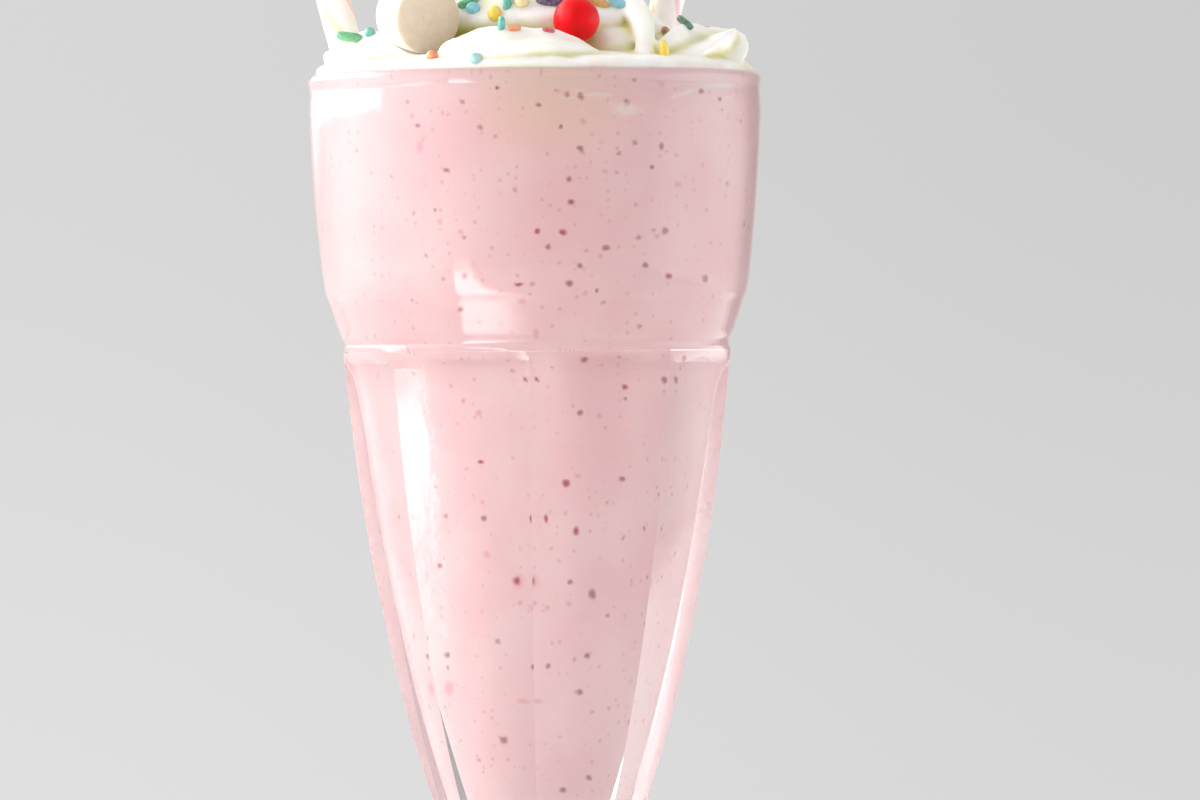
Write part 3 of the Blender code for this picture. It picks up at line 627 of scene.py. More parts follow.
def new_piece(name, mesh, sharp=None):
    """An object with smooth shading in the scene, with sharp edges above an angle in degrees."""
    piece = bpy.data.objects.new(name, mesh)
    bpy.context.scene.collection.objects.link(piece)
    mesh.shade_smooth()
    if sharp:
        mesh.set_sharp_from_angle(angle=math.radians(sharp))
    return piece


def dress(piece, finish, *nodes, slot=None):
    """Give the piece its finish, put it under the root, and hide the solids it stands for."""
    piece.data.materials.clear()
    piece.data.materials.append(FINISHES[finish])
    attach(piece, "root")
    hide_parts(*nodes)
    triangles = sum(len(face.vertices) - 2 for face in piece.data.polygons)
    print(f"{piece.name}: {triangles} triangles")


def uneven(points, size, seed):
    """Smooth unevenness from -1 to 1: the mean of sine waves of about one size in random directions."""
    draw = np.random.default_rng(seed)
    waves = 9
    heading = draw.normal(size=(waves, 3))
    heading /= np.linalg.norm(heading, axis=1)[:, None]
    length = size * draw.uniform(0.7, 1.4, waves)
    phase = draw.uniform(0.0, 2 * math.pi, waves)
    angle = np.tensordot(points, (heading / length[:, None]).T, axes=1) * 2 * math.pi + phase
    return np.sin(angle).mean(axis=-1) * 1.6


print("grid helpers ready")

# %% [markdown]
# ## The glass
# The glass was pressed in a mould: a round bowl with a rolled rim, a ledge, eight hollow flutes that meet
# in ridges, a ball-shaped ankle and a round foot. It could be turned on a lathe and then cut, but one
# formula gives it all: a ring is round, and between two ridges its radius drops by a curve that is deepest
# in the middle. The flutes fade in below the ledge and fade out above the ankle. The outline is a few named
# points with smooth curves through them, at the same places as in the solid, only with far more rings.

# %% Outline of the glass
PANELS = 8
GLASS_COLUMNS = 288
FIRST_RIDGE = math.radians(43.3)
RIM_INSIDE = (0.0398, 0.1823)
RIM_LIP = [
    (0.0402, 0.1830), (0.0410, GLASS_HEIGHT), (0.0418, 0.1829), (0.0421, 0.1822), (0.0420, 0.1812),
]
BOWL = [
    (0.04185, 0.1804), (0.0420, 0.1745), (0.0411, 0.1598), (0.0396, 0.1449), (0.0384, 0.1405), (0.0365,
    0.1348),
]
WAIST = [(0.0359, 0.1337), (0.0358, 0.1328), (0.0361, 0.1318)]
PANELLED = [
    (0.0359, 0.1300), (0.0340, 0.1132), (0.0312, 0.0946), (0.0265, 0.0715), (0.0205, 0.0500), (0.0122,
    0.0275),
]
ANKLE = [(0.0131, 0.0252), (0.0136, 0.0230), (0.0131, 0.0208), (0.0122, 0.0190)]
FOOT = [(0.0127, 0.0165), (0.0175, 0.0115), (0.0270, 0.0080), (0.0350, 0.0060)]
FOOT_EDGE = [(0.0366, 0.0048), (0.0372, 0.0030), (0.0368, 0.0011), (0.0358, 0.0)]
OUTSIDE = [
    ([RIM_INSIDE, *RIM_LIP, BOWL[0]], 22),
    (BOWL, 40),
    ([BOWL[-1], *WAIST], 16),
    ([WAIST[-1], *PANELLED], 64),
    ([PANELLED[-1], *ANKLE], 16),
    ([ANKLE[-1], *FOOT], 22),
    ([FOOT[-1], *FOOT_EDGE], 12),
]
PANEL_TOP, PANEL_FULL = 0.1325, 0.1295
PANEL_FADE_START, PANEL_FADE_END = 0.0420, 0.0280
PANEL_MIDDLE = 0.9246
FLUTE_DEPTH = 0.016
HOLLOW = [
    (0.0396, 0.1800),
    (0.0394, 0.1700),
    (0.0385, 0.1600),
    (0.0367, 0.1450),
    (0.0338, 0.1355),
    (0.0285, 0.1270),
    (0.0262, 0.1190),
    (0.0221, 0.0950),
    (0.0173, 0.0720),
    (0.0120, 0.0520),
    (0.0092, 0.0430),
]
HOLLOW_ROWS = 60
HOLLOW_BOTTOM = 0.0375


def outside_outline():
    """Radius and height of every outer ring from the rim's inside down to the foot's underside."""
    runs = [curve_through(points, rows)[1:] for points, rows in OUTSIDE]
    return np.vstack([[RIM_INSIDE], *runs])


def hollow_outline():
    """Radius and height of every ring inside, down to the edge of the round bottom and round it."""
    wall = curve_through([RIM_INSIDE] + HOLLOW, HOLLOW_ROWS)
    radius, height = wall[-1]
    angle = np.linspace(0.0, math.pi / 2, 12)[1:-1]
    bottom = np.column_stack([radius * np.cos(angle), height - (height - HOLLOW_BOTTOM) * np.sin(angle)])
    return np.vstack([wall, bottom])


def rings(outline, columns, fluted):
    """Rings of an outline. Fluted, the radius r becomes r (1 + s (m / cos a - 1 - d (1 - (a / h) squared))),
    where a is the angle from the flute's middle, h is half a flute, m and d set the flute, and s is its
    strength."""
    turn = np.linspace(0.0, 2 * math.pi, columns, endpoint=False)
    half = math.pi / PANELS
    from_ridge = np.abs((turn + half) % (2 * half) - half)
    across = (half - from_ridge)[None, :]
    radius, height = outline[:, :1], outline[:, 1:]
    strength = np.clip((PANEL_TOP - height) / (PANEL_TOP - PANEL_FULL), 0.0, 1.0)
    strength = strength * np.clip((height - PANEL_FADE_END) / (PANEL_FADE_START - PANEL_FADE_END), 0.0, 1.0)
    shape = PANEL_MIDDLE / np.cos(across) - 1 - FLUTE_DEPTH * (1 - (across / half) ** 2)
    reach = radius * (1 + strength * fluted * shape)
    azimuth = FIRST_RIDGE + turn
    return np.stack([reach * np.sin(azimuth), -reach * np.cos(azimuth), height + 0 * reach], axis=-1)


# %% Make the glass


def make_glass():
    """The glass as one skin: up the hollow from its bottom, over the rim, and down outside to the foot."""
    inside = rings(hollow_outline()[:0:-1], GLASS_COLUMNS, 0.0)
    outside = rings(outside_outline(), GLASS_COLUMNS, 1.0)
    mesh = tube_mesh("clear_glass_body", np.concatenate([inside, outside]))
    return new_piece("clear_glass_body", mesh, 28.0)


glass = make_glass()
dress(glass, "clear_glass", "glass", slot="clear_glass")

# %% [markdown]
# ## The shake
# The shake fills the hollow up to the cream. If it stopped at the wall, or just short of it, a thin film of
# air would mirror the light and turn it silver. So it reaches a fifth of a millimetre into the wall
# instead: the light then passes from glass straight into shake, as it does where a drink wets the glass.
# Poured to the brim, it also leaves a film on the last millimetres of the wall, outside the cream, which
# tints the rim.

# %% Make the shake
INTO_WALL = 0.0002
FILM_RADIUS = 0.03945
FILM_LIP = [(0.0397, 0.18295), (0.0402, 0.18295), (0.04035, 0.1827)]
SHAKE_COLUMNS = 192


def make_shake():
    """A level top under the cream, a thin film up to the rim, then the hollow's outline moved outwards."""
    wall = hollow_outline() + np.array([INTO_WALL, 0.0])
    wall[-11:, 1] -= INTO_WALL
    top = np.column_stack([np.linspace(0.1, 1.0, 10) * FILM_RADIUS, np.full(10, DRINK_TOP)])
    up_film = np.linspace(DRINK_TOP, FILM_LIP[0][1] - INTO_WALL, 6)[1:]
    film = np.column_stack([np.full(5, FILM_RADIUS), up_film])
    grid = rings(np.vstack([top, film, FILM_LIP, wall]), SHAKE_COLUMNS, 0.0)
    return new_piece("strawberry_shake_fill", tube_mesh("strawberry_shake_fill", grid), 50.0)


shake = make_shake()

# %% [markdown]
# The larger bits of fruit were noted in the photo, in its pixels. Glass bends the view, so a mark isn't
# where it seems to be: the ray through its pixel is bent at the glass by Snell's law, and the mark lies
# where it meets the shake. Behind a ridge one mark shows twice, once through each panel.

# %% Fruit marks on the shake
# Column, row, half width and half height of each mark, in whole pixels of the photo
NOTED_MARKS = {
    "pulp": [
        (583, 121, 4, 4), (420, 147, 4, 8), (412, 116, 3, 4), (440, 222, 4, 4), (461, 232, 4, 4),
        (522, 301, 6, 4), (605, 172, 4, 3), (617, 172, 3, 3), (678, 185, 5, 4), (536, 333, 4, 6),
        (599, 416, 4, 4), (479, 413, 5, 4), (578, 476, 5, 3), (487, 555, 5, 5), (518, 581, 9, 9),
        (569, 603, 5, 4), (520, 603, 4, 4), (547, 608, 4, 4), (449, 688, 6, 9), (523, 701, 9, 4),
    ],
    "brown": [
        (580, 148, 4, 4), (627, 103, 4, 5), (569, 179, 4, 4), (539, 105, 4, 3), (581, 96, 4, 5),
        (561, 126, 3, 3), (701, 91, 4, 4), (720, 99, 3, 3), (418, 126, 4, 3), (446, 170, 4, 3),
        (465, 276, 4, 4), (461, 309, 4, 4), (569, 283, 6, 4), (597, 291, 3, 3), (606, 248, 5, 4),
        (665, 231, 4, 5), (645, 265, 4, 4), (705, 278, 4, 5), (548, 247, 4, 4), (580, 266, 4, 4),
        (652, 167, 3, 3), (661, 146, 3, 5), (584, 360, 5, 5), (580, 413, 4, 4), (684, 359, 4, 5),
        (622, 479, 4, 4), (484, 518, 4, 4), (440, 566, 4, 4), (570, 582, 4, 4), (592, 594, 5, 7),
        (447, 655, 4, 4), (548, 666, 4, 4), (587, 656, 4, 4), (580, 692, 4, 4), (504, 740, 5, 5),
        (563, 790, 5, 4), (589, 778, 4, 4), (664, 380, 3, 5),
    ],
    "red": [
        (537, 232, 4, 4), (563, 232, 5, 4), (571, 202, 5, 4), (519, 284, 6, 3), (669, 276, 4, 4),
        (625, 387, 4, 4), (481, 462, 5, 3), (566, 483, 5, 5), (546, 519, 3, 6), (576, 531, 4, 6),
        (517, 581, 5, 5),
    ],
}
PHOTO_HEIGHT = 800
GLASS_IOR = 1.5
MARK_SPREAD = 1.1
JUST_INSIDE = 0.00001


def behind_glass(outer, inner, column, row):
    """Where the view through a pixel meets the inner surface. With n the ratio 1 / IOR and c the cosine
    between the ray and the normal, the bent ray is n times the ray plus (n c - root of (1 - n n (1 - c c)))
    normals."""
    distance = (CAMERA_AIM - CAMERA_PLACE).length
    right = (column - PHOTO_WIDTH / 2) * METRES_PER_PIXEL
    up = (PHOTO_HEIGHT / 2 - row) * METRES_PER_PIXEL
    ray = (camera.matrix_world.to_3x3() @ Vector((right, up, -distance))).normalized()
    hit, normal, _, _ = outer.ray_cast(CAMERA_PLACE, ray)
    ratio, cosine = 1 / GLASS_IOR, -ray.dot(normal)
    bent = ratio * ray + (ratio * cosine - math.sqrt(1 - ratio**2 * (1 - cosine**2))) * normal
    return inner.ray_cast(hit + bent * JUST_INSIDE, bent)[0]


def place_marks():
    """The place of every noted mark on the shake, with its half width and half height in metres."""
    graph = bpy.context.evaluated_depsgraph_get()
    outer, inner = (BVHTree.FromObject(piece, graph) for piece in (glass, shake))
    size = METRES_PER_PIXEL * MARK_SPREAD
    marks = {kind: [] for kind in NOTED_MARKS}
    for kind, noted in NOTED_MARKS.items():
        for column, row, wide, tall in noted:
            place = behind_glass(outer, inner, column, row)
            if place is not None:
                marks[kind].append((tuple(place), wide * size, tall * size))
    print("marks on the shake:", {kind: len(places) for kind, places in marks.items()})
    return marks


FINISHES["strawberry_shake"] = shake_finish(place_marks())
dress(shake, "strawberry_shake", "milkshake", slot="strawberry_shake")

# %% [markdown]
# ## The whipped cream
# The cream was piped through a star nozzle: seven strokes laid along the rim, and a rope wound up in the
# middle and pulled off into a small peak. Each stroke is a ribbed section carried along a path. The section
# is an ellipse whose radius swells and shrinks seven times round; it turns as it goes, because the hand
# turns. Real strokes melt into each other, so they are joined by a voxel remesh, which lays one new skin
# over all of them, and smoothed a little. The paths and sizes are those of the solid, at a much finer step.

# %% Strokes of cream
ROPE_COLUMNS = 98
RIBS = 7
RIB_DEPTH = 0.10


def piped(name, centres, wide, tall, twist, depth=RIB_DEPTH):
    """A ribbed rope: at each station the point is centre + side w g cos(b) + rise h g sin(b), where b runs
    round, shifted by the twist so far, and g = 1 + depth times the rib's wave. Side is level, and rise is
    square to it."""
    centres = np.asarray(centres)
    along = np.gradient(centres, axis=0)
    along /= np.linalg.norm(along, axis=1)[:, None]
    side = np.cross(along, (0.0, 0.0, 1.0))
    side /= np.linalg.norm(side, axis=1)[:, None]
    rise = np.cross(side, along)
    angle = np.linspace(0.0, 2 * math.pi, ROPE_COLUMNS, endpoint=False)
    wave = 1 - 2 * np.abs(np.sin(RIBS * angle / 2)) ** 1.3
    turn = angle[None, :] + math.radians(twist) * np.linspace(0.0, 1.0, len(centres))[:, None]
    reach = 1 + depth * wave[None, :]
    across = (np.cos(turn) * reach)[:, :, None] * np.asarray(wide)[:, None, None] * side[:, None, :]
    upward = (np.sin(turn) * reach)[:, :, None] * np.asarray(tall)[:, None, None] * rise[:, None, :]
    return tube_mesh(name, centres[:, None, :] + across + upward)


# Start and end azimuth, end radius, crest height, half width, height of the lifted tip, depth of ribs, twist
BORDER_STROKES = [
    (-37.0, 26.0, 0.0300, 0.1908, 0.0100, 0.1850, 0.10, 50.0),
    (44.0, 94.0, 0.0370, 0.1908, 0.0088, 0.1912, 0.20, 60.0),
    (80.0, 132.0, 0.0305, 0.1912, 0.0098, 0.1880, 0.12, 70.0),
    (120.0, 178.0, 0.0305, 0.1922, 0.0100, 0.1875, 0.12, 70.0),
    (168.0, 228.0, 0.0315, 0.1908, 0.0096, 0.1885, 0.12, 70.0),
    (218.0, 274.0, 0.0305, 0.1918, 0.0100, 0.1870, 0.12, 70.0),
    (262.0, 318.0, 0.0290, 0.1908, 0.0102, 0.1845, 0.10, 50.0),
]
STROKE_START_RADIUS = 0.0268
STROKE_MIDDLE_RADIUS = 0.0296
STROKE_HALF_HEIGHT = 0.0066
STROKE_STATIONS = 70


def border_stroke(index):
    """A stroke along the rim: thin where it starts, full early on, and drawn out to a lifted tip."""
    start, end, end_radius, crest, width, tip_height, ribs, twist = BORDER_STROKES[index]
    t = np.linspace(0.01, 0.99, STROKE_STATIONS)
    size = np.maximum(np.sin(math.pi * t**0.85) ** 0.55, 0.12)
    size = size * (1 + 0.03 * np.sin(19.0 * t + index))
    azimuth = np.radians(start + (end - start) * t)
    radii = [(STROKE_START_RADIUS,), (STROKE_MIDDLE_RADIUS,), (end_radius,)]
    radius = curve_through(radii, STROKE_STATIONS)[:, 0]
    height = crest - STROKE_HALF_HEIGHT + (tip_height - crest + STROKE_HALF_HEIGHT) * t**4
    centres = np.column_stack([radius * np.sin(azimuth), -radius * np.cos(azimuth), height])
    return piped(f"border_{index}", centres, width * size, STROKE_HALF_HEIGHT * size, twist, ribs)


SWIRL_CENTRE = (-0.0040, 0.0040)
SWIRL_START = 85.0
SWIRL_TURNS = 1.8
SWIRL_RADIUS, SWIRL_END_RADIUS = 0.0137, 0.0062
SWIRL_OPENING, SWIRL_OPENING_DECAY = 0.0120, 0.09
SWIRL_LOW, SWIRL_HIGH = 0.1895, 0.2105
SWIRL_ROPE, SWIRL_END_ROPE = 0.0082, 0.0050
SWIRL_STATIONS = 260


def swirl_stroke():
    """The rope that winds up: an azimuth falling evenly, with radius, height and thickness going with it."""
    t = np.linspace(0.0, 1.0, SWIRL_STATIONS)
    azimuth = np.radians(SWIRL_START - 360.0 * SWIRL_TURNS * t)
    opening = SWIRL_OPENING * np.exp(-t / SWIRL_OPENING_DECAY)
    radius = SWIRL_RADIUS + (SWIRL_END_RADIUS - SWIRL_RADIUS) * t + opening
    size = (SWIRL_ROPE + (SWIRL_END_ROPE - SWIRL_ROPE) * t) * np.clip(t / 0.03, 0.45, 1.0) ** 0.7
    size = size * np.clip((1 - t) / 0.08, 0.25, 1.0) ** 0.7 * (1 + 0.03 * np.sin(31.0 * t))
    x = SWIRL_CENTRE[0] + radius * np.sin(azimuth)
    y = SWIRL_CENTRE[1] - radius * np.cos(azimuth)
    centres = np.column_stack([x, y, SWIRL_LOW + (SWIRL_HIGH - SWIRL_LOW) * t])
    return piped("swirl", centres, size, size, 150.0)


PEAK_PATH = [
    (-0.0035, 0.0040, 0.2050), (-0.0045, 0.0035, 0.2150), (-0.0062, 0.0030, 0.2215), (-0.0090, 0.0034,
    0.2262),
]
PEAK_SIZES = [(0.0070,), (0.0052,), (0.0026,), (0.0005,)]
PEAK_STATIONS = 50


def peak_stroke():
    """The tip where the nozzle was pulled away: a rope that shrinks to a point and leans."""
    size = curve_through(PEAK_SIZES, PEAK_STATIONS)[:, 0]
    return piped("peak", curve_through(PEAK_PATH, PEAK_STATIONS), size, size, 40.0)


CURL_PATH = [
    (0.0146, -0.0080, 0.1962), (0.0192, -0.0150, 0.1935), (0.0205, -0.0220, 0.1886), (0.0196, -0.0272,
    0.1832),
]
CURL_SIZES = [(0.0040,), (0.0025,), (0.0019,), (0.0015,)]
CURL_STATIONS = 40


def curl_stroke():
    """The end of a stroke that hangs from the swirl down to the rim, thinner as it goes."""
    size = curve_through(CURL_SIZES, CURL_STATIONS)[:, 0]
    return piped("curl", curve_through(CURL_PATH, CURL_STATIONS), size, size, 30.0)


CREAM_DOME = [
    (0.0, 0.1878), (0.0200, 0.1872), (0.0320, 0.1862), (0.0385, 0.1852), (0.0405, 0.1841), (0.0407,
    0.1830),
]
CURL_FILL = [(0.0, 0.1918), (0.0035, 0.1908), (0.0062, 0.1882), (0.0078, 0.1835)]
CURL_FILL_CENTRE = (0.0142, -0.0150)
CORE_OUTLINE = [(0.0, 0.2130), (0.0055, 0.2095), (0.0120, 0.2000), (0.0165, 0.1900), (0.0170, 0.1830)]
CREAM_FOOT = 0.1790


def mound(name, outline, centre, rows):
    """A smooth mound turned from an outline over a centre, with straight sides down to the cream's foot."""
    upper = curve_through(outline, rows)[1:]
    side = [(upper[-1, 0], CREAM_FOOT), (upper[-1, 0] * 0.5, CREAM_FOOT)]
    turned = rings(np.vstack([upper, side]), 128, 0.0)
    return tube_mesh(name, turned + np.array([centre[0], centre[1], 0.0]))


print("cream strokes:", len(BORDER_STROKES) + 3)

# %% [markdown]
# The strokes are joined, remeshed and smoothed. Then what the glass, the shake, the straws, the marshmallow
# and the candy take up is cut away, so that the cream wraps round them and doesn't run through them. Last,
# a number between 0 and 1 is stored at each point: how deep it lies in a hollow. It is the distance by
# which the smoothed surface lies outside the real one, or how far the point lies below the blurred heights
# round it, and the finish uses it to paint shade into the hollows as a darker yellow.

# %% Join, smooth and trim the cream
VOXEL = 0.00048
CREAM_BOTTOM = DRINK_TOP + 0.0001
CREAM_PLUG_RADIUS = 0.0394
CREAM_ON_RIM = GLASS_HEIGHT + 0.00005
TOUCH = 0.00005
CREASE_DEPTH = 0.0006
HOLLOW_START, HOLLOW_DEPTH = 0.0004, 0.0034
HOLLOW_REACH = 0.0045
HEIGHT_MAP_REACH = 0.045
HEIGHT_MAP_STEP = 0.0005
HEIGHT_MAP_CELLS = 180


def joined(name, meshes):
    """One object that holds several meshes."""
    body = bmesh.new()
    for mesh in meshes:
        body.from_mesh(mesh)
        bpy.data.meshes.remove(mesh)
    whole = bpy.data.meshes.new(name)
    body.to_mesh(whole)
    body.free()
    return new_piece(name, whole)


def bake(piece):
    """Give the object the mesh that its modifiers make, and drop them."""
    seen = piece.evaluated_get(bpy.context.evaluated_depsgraph_get())
    mesh = bpy.data.meshes.new_from_object(seen)
    piece.modifiers.clear()
    piece.data = mesh
    mesh.shade_smooth()


def mesh_arrays(mesh):
    """A mesh's points and the two ends of each of its edges."""
    points = np.empty(len(mesh.vertices) * 3, np.float32)
    mesh.vertices.foreach_get("co", points)
    edges = np.empty(len(mesh.edges) * 2, np.int32)
    mesh.edges.foreach_get("vertices", edges)
    return points.reshape(-1, 3).astype(float), edges.reshape(-1, 2)


def smoothed(points, edges, rounds, share=0.5):
    """The points after moving each a share of the way to the mean of its neighbours, some rounds over."""
    count = np.bincount(edges.ravel(), minlength=len(points))[:, None]
    for _ in range(rounds):
        sums = np.stack(
            [
                np.bincount(edges[:, 0], points[edges[:, 1], axis], len(points))
                + np.bincount(edges[:, 1], points[edges[:, 0], axis], len(points))
                for axis in range(3)
            ],
            axis=1,
        )
        points = points + share * (sums / count - points)
    return points


def vertex_normals(mesh):
    """The normals of a mesh's points as an array."""
    normals = np.empty(len(mesh.vertices) * 3, np.float32)
    mesh.vertex_normals.foreach_get("vector", normals)
    return normals.reshape(-1, 3).astype(float)


def set_points(mesh, points):
    """Put an array of points into a mesh."""
    mesh.vertices.foreach_set("co", points.astype(np.float32).ravel())
    mesh.update()


def cut(piece, cutters):
    """Cut the cutters' meshes out of a piece, one after another."""
    for cutter in cutters:
        step = piece.modifiers.new("cut", "BOOLEAN")
        step.operation = "DIFFERENCE"
        step.object = cutter
        step.solver = "MANIFOLD"
        bpy.context.view_layer.update()
        bake(piece)
        bpy.data.objects.remove(cutter, do_unlink=True)


def shape_cream():
    """The strokes under one skin, softened, with small dents where the hand wavered."""
    strokes = [border_stroke(index) for index in range(len(BORDER_STROKES))]
    mounds = [mound("dome", CREAM_DOME, (0.0, 0.0), 30), mound("core", CORE_OUTLINE, SWIRL_CENTRE, 40)]
    mounds.append(mound("curl_fill", CURL_FILL, CURL_FILL_CENTRE, 20))
    piece = joined("piped_cream", [*strokes, swirl_stroke(), peak_stroke(), curl_stroke(), *mounds])
    remesh = piece.modifiers.new("skin", "REMESH")
    remesh.mode = "VOXEL"
    remesh.voxel_size = VOXEL
    bake(piece)
    points, edges = mesh_arrays(piece.data)
    points = smoothed(points, edges, 4)
    set_points(piece.data, points)
    normals = vertex_normals(piece.data)
    dents = 0.00022 * uneven(points, 0.007, 3) + 0.00007 * uneven(points, 0.0022, 4)
    set_points(piece.data, points + normals * dents[:, None])
    return piece


cream = shape_cream()
print("cream points:", len(cream.data.vertices))

# %% [markdown]
# ## The straws
# Paper straws are wound from a strip, so a shallow seam runs round them in a long screw line. A straw is a
# tube with a wall: the grid runs up the inside, over the end, down the outside and back under. The seam is
# a small dip of the outer radius wherever the screw line passes. The stripes run along the same strip but
# much steeper.

# %% Make the straws
STRAW_RADIUS = 0.0031
STRAW_WALL = 0.00045
STRAW_LENGTH = 0.197
STRAW_COLUMNS = 56
STRAW_ROWS = 260
SEAM_PITCH = 0.021
SEAM_WIDTH = 0.0009
SEAM_DEPTH = 0.00007
STRAWS = {
    "straw_left": {"foot": (0.0001, -0.0067, 0.0520), "lean": (-0.2586, 0.085)},
    "straw_right": {"foot": (-0.0107, 0.0041, 0.0670), "lean": (0.274, 0.110)},
}


def straw_matrix(straw):
    """Places a straw's own +Z along its lean, with its lower end at its foot."""
    lean_x, lean_y = straw["lean"]
    turn = Vector((lean_x, lean_y, 1.0)).normalized().to_track_quat("Z", "Y").to_matrix().to_4x4()
    return Matrix.Translation(Vector(straw["foot"])) @ turn


def straw_outline():
    """Radius and length along the straw for each ring, with rounded ends, from the inside's foot round."""
    inner = STRAW_RADIUS - STRAW_WALL
    middle, half = (STRAW_RADIUS + inner) / 2, STRAW_WALL / 2
    length = np.linspace(half, STRAW_LENGTH - half, STRAW_ROWS)
    arc = np.linspace(0.0, math.pi, 9)[1:-1]
    top = np.column_stack([middle - half * np.cos(arc), STRAW_LENGTH - half + half * np.sin(arc)])
    bottom = np.column_stack([middle + half * np.cos(arc), half - half * np.sin(arc)])
    inside = np.column_stack([np.full(STRAW_ROWS, inner), length])
    outside = np.column_stack([np.full(STRAW_ROWS, STRAW_RADIUS), length[::-1]])
    return np.vstack([inside, top, outside, bottom])


def make_straw(name):
    """A tube of paper: radius r less a dip of depth d exp(-(s / w) squared), with s the way to the seam."""
    outline = straw_outline()
    turn = np.linspace(0.0, 2 * math.pi, STRAW_COLUMNS, endpoint=False)
    radius, along = outline[:, :1], outline[:, 1:]
    off_seam = (along / SEAM_PITCH - turn[None, :] / (2 * math.pi)) % 1.0
    off_seam = np.minimum(off_seam, 1 - off_seam) * SEAM_PITCH
    dip = SEAM_DEPTH * np.exp(-((off_seam / SEAM_WIDTH) ** 2)) * (radius > STRAW_RADIUS - 1e-6)
    reach = radius - dip
    grid = np.stack([reach * np.cos(turn), reach * np.sin(turn), along + 0 * reach], axis=-1)
    rows, columns = grid.shape[:2]
    closed = np.concatenate([grid, grid[:1]])
    quads = ring_faces(rows + 1, columns) % (rows * columns)
    mesh = mesh_of(name, closed[:rows].reshape(-1, 3), quads)
    add_wrap(mesh)
    mesh.transform(straw_matrix(STRAWS[name]))
    return new_piece(f"paper_{name}", mesh, 60.0)


def add_wrap(mesh):
    """A UV map in turns: across is the turn round the straw, and up is the length in circumferences. A face
    that crosses the line where the turns start again has its low corners raised by one turn."""
    points, _ = mesh_arrays(mesh)
    corner = np.empty(len(mesh.loops), np.int32)
    mesh.loops.foreach_get("vertex_index", corner)
    turn = (np.arctan2(points[:, 1], points[:, 0]) / (2 * math.pi)) % 1.0
    across = turn[corner].reshape(-1, 4)
    across = np.where((across.max(axis=1, keepdims=True) - across) > 0.5, across + 1.0, across)
    up = points[corner, 2] / (2 * math.pi * STRAW_RADIUS)
    wrap = mesh.uv_layers.new(name="wrap")
    wrap.data.foreach_set("uv", np.column_stack([across.ravel(), up]).astype(np.float32).ravel())


for name in STRAWS:
    straw = make_straw(name)
    dress(straw, "striped_paper", name, slot="striped_paper")

# %% [markdown]
# ## The marshmallow and the candy
# The marshmallow is a soft short cylinder. Its outline is a rounded rectangle, |r/R| to the power n plus
# |z/H| to the power n equals 1, which bulges and has soft edges; slow unevenness keeps it from looking
# machined. The candy is a ball, flattened by a few hundredths, since a sugar shell is never quite round.

# %% Make the marshmallow and the candy
MARSHMALLOW_RADIUS = 0.0069
MARSHMALLOW_LENGTH = 0.0105
MARSHMALLOW_CENTRE = (-0.0213, -0.0184, 0.1935)
MARSHMALLOW_AXIS = (0.42, -0.89, -0.14)
MARSHMALLOW_SQUARENESS = 6.5
CANDY_RADIUS = 0.0043
CANDY_CENTRE = (0.0079, -0.0228, 0.1925)


def rounded(radius, half_length, squareness, rows, columns):
    """A turned rounded box: r = R c(cos a) and z = H c(sin a), c raising to 2 / n and keeping the sign."""
    angle = np.linspace(-math.pi / 2, math.pi / 2, rows + 2)[1:-1, None]
    turn = np.linspace(0.0, 2 * math.pi, columns, endpoint=False)
    power = 2.0 / squareness
    reach = radius * np.abs(np.cos(angle)) ** power
    along = half_length * np.sign(np.sin(angle)) * np.abs(np.sin(angle)) ** power
    return np.stack([reach * np.cos(turn), reach * np.sin(turn), along + 0 * turn], axis=-1)


def make_marshmallow(name, grow=0.0, rows=64, columns=96):
    """The marshmallow in its place, with slow dents, or the same grown a little, to cut with."""
    radius, half_length = MARSHMALLOW_RADIUS + grow, MARSHMALLOW_LENGTH / 2 + grow
    grid = rounded(radius, half_length, MARSHMALLOW_SQUARENESS, rows, columns)
    size = 1 - 0.010 * (1 + uneven(grid, 0.012, 7)) - 0.002 * (1 + uneven(grid, 0.004, 8))
    grid = grid * size[..., None]
    mesh = tube_mesh(name, grid)
    points, _ = mesh_arrays(mesh)
    # Weight of the painted shade on the flat ends: 0 on the side, rising to 1 near each end.
    end_painted_shade = np.clip((np.abs(points[:, 2]) / (MARSHMALLOW_LENGTH / 2) - 0.82) / 0.08, 0.0, 1.0)
    mesh.attributes.new("end_painted_shade", "FLOAT", "POINT").data.foreach_set("value", end_painted_shade.astype(np.float32))
    turn = Vector(MARSHMALLOW_AXIS).to_track_quat("Z", "Y").to_matrix().to_4x4()
    mesh.transform(Matrix.Translation(Vector(MARSHMALLOW_CENTRE)) @ turn)
    return new_piece(name, mesh)


def make_candy(name, grow=0.0, rows=48, columns=72):
    """The candy ball in its place, or the same grown a little, to cut with."""
    grid = rounded(CANDY_RADIUS + grow, (CANDY_RADIUS + grow) * 0.985, 2.0, rows, columns)
    grid = grid * (1 - 0.008 * (1 + uneven(grid, 0.004, 9))[..., None])
    mesh = tube_mesh(name, grid)
    mesh.transform(Matrix.Translation(Vector(CANDY_CENTRE)))
    return new_piece(name, mesh)


marshmallow = make_marshmallow("soft_marshmallow")
dress(marshmallow, "marshmallow", "marshmallow", slot="marshmallow")
candy = make_candy("candy_ball")
dress(candy, "red_candy", "red_candy", slot="red_candy")

# %% Trim the cream


def rod_cutter(name, straw):
    """A closed rod a hair wider than a straw."""
    radius = STRAW_RADIUS + TOUCH
    outline = np.array([(radius, -0.001), (radius, STRAW_LENGTH + 0.001)])
    mesh = tube_mesh(name, rings(outline, STRAW_COLUMNS, 0.0))
    mesh.transform(straw_matrix(straw))
    return new_piece(name, mesh)


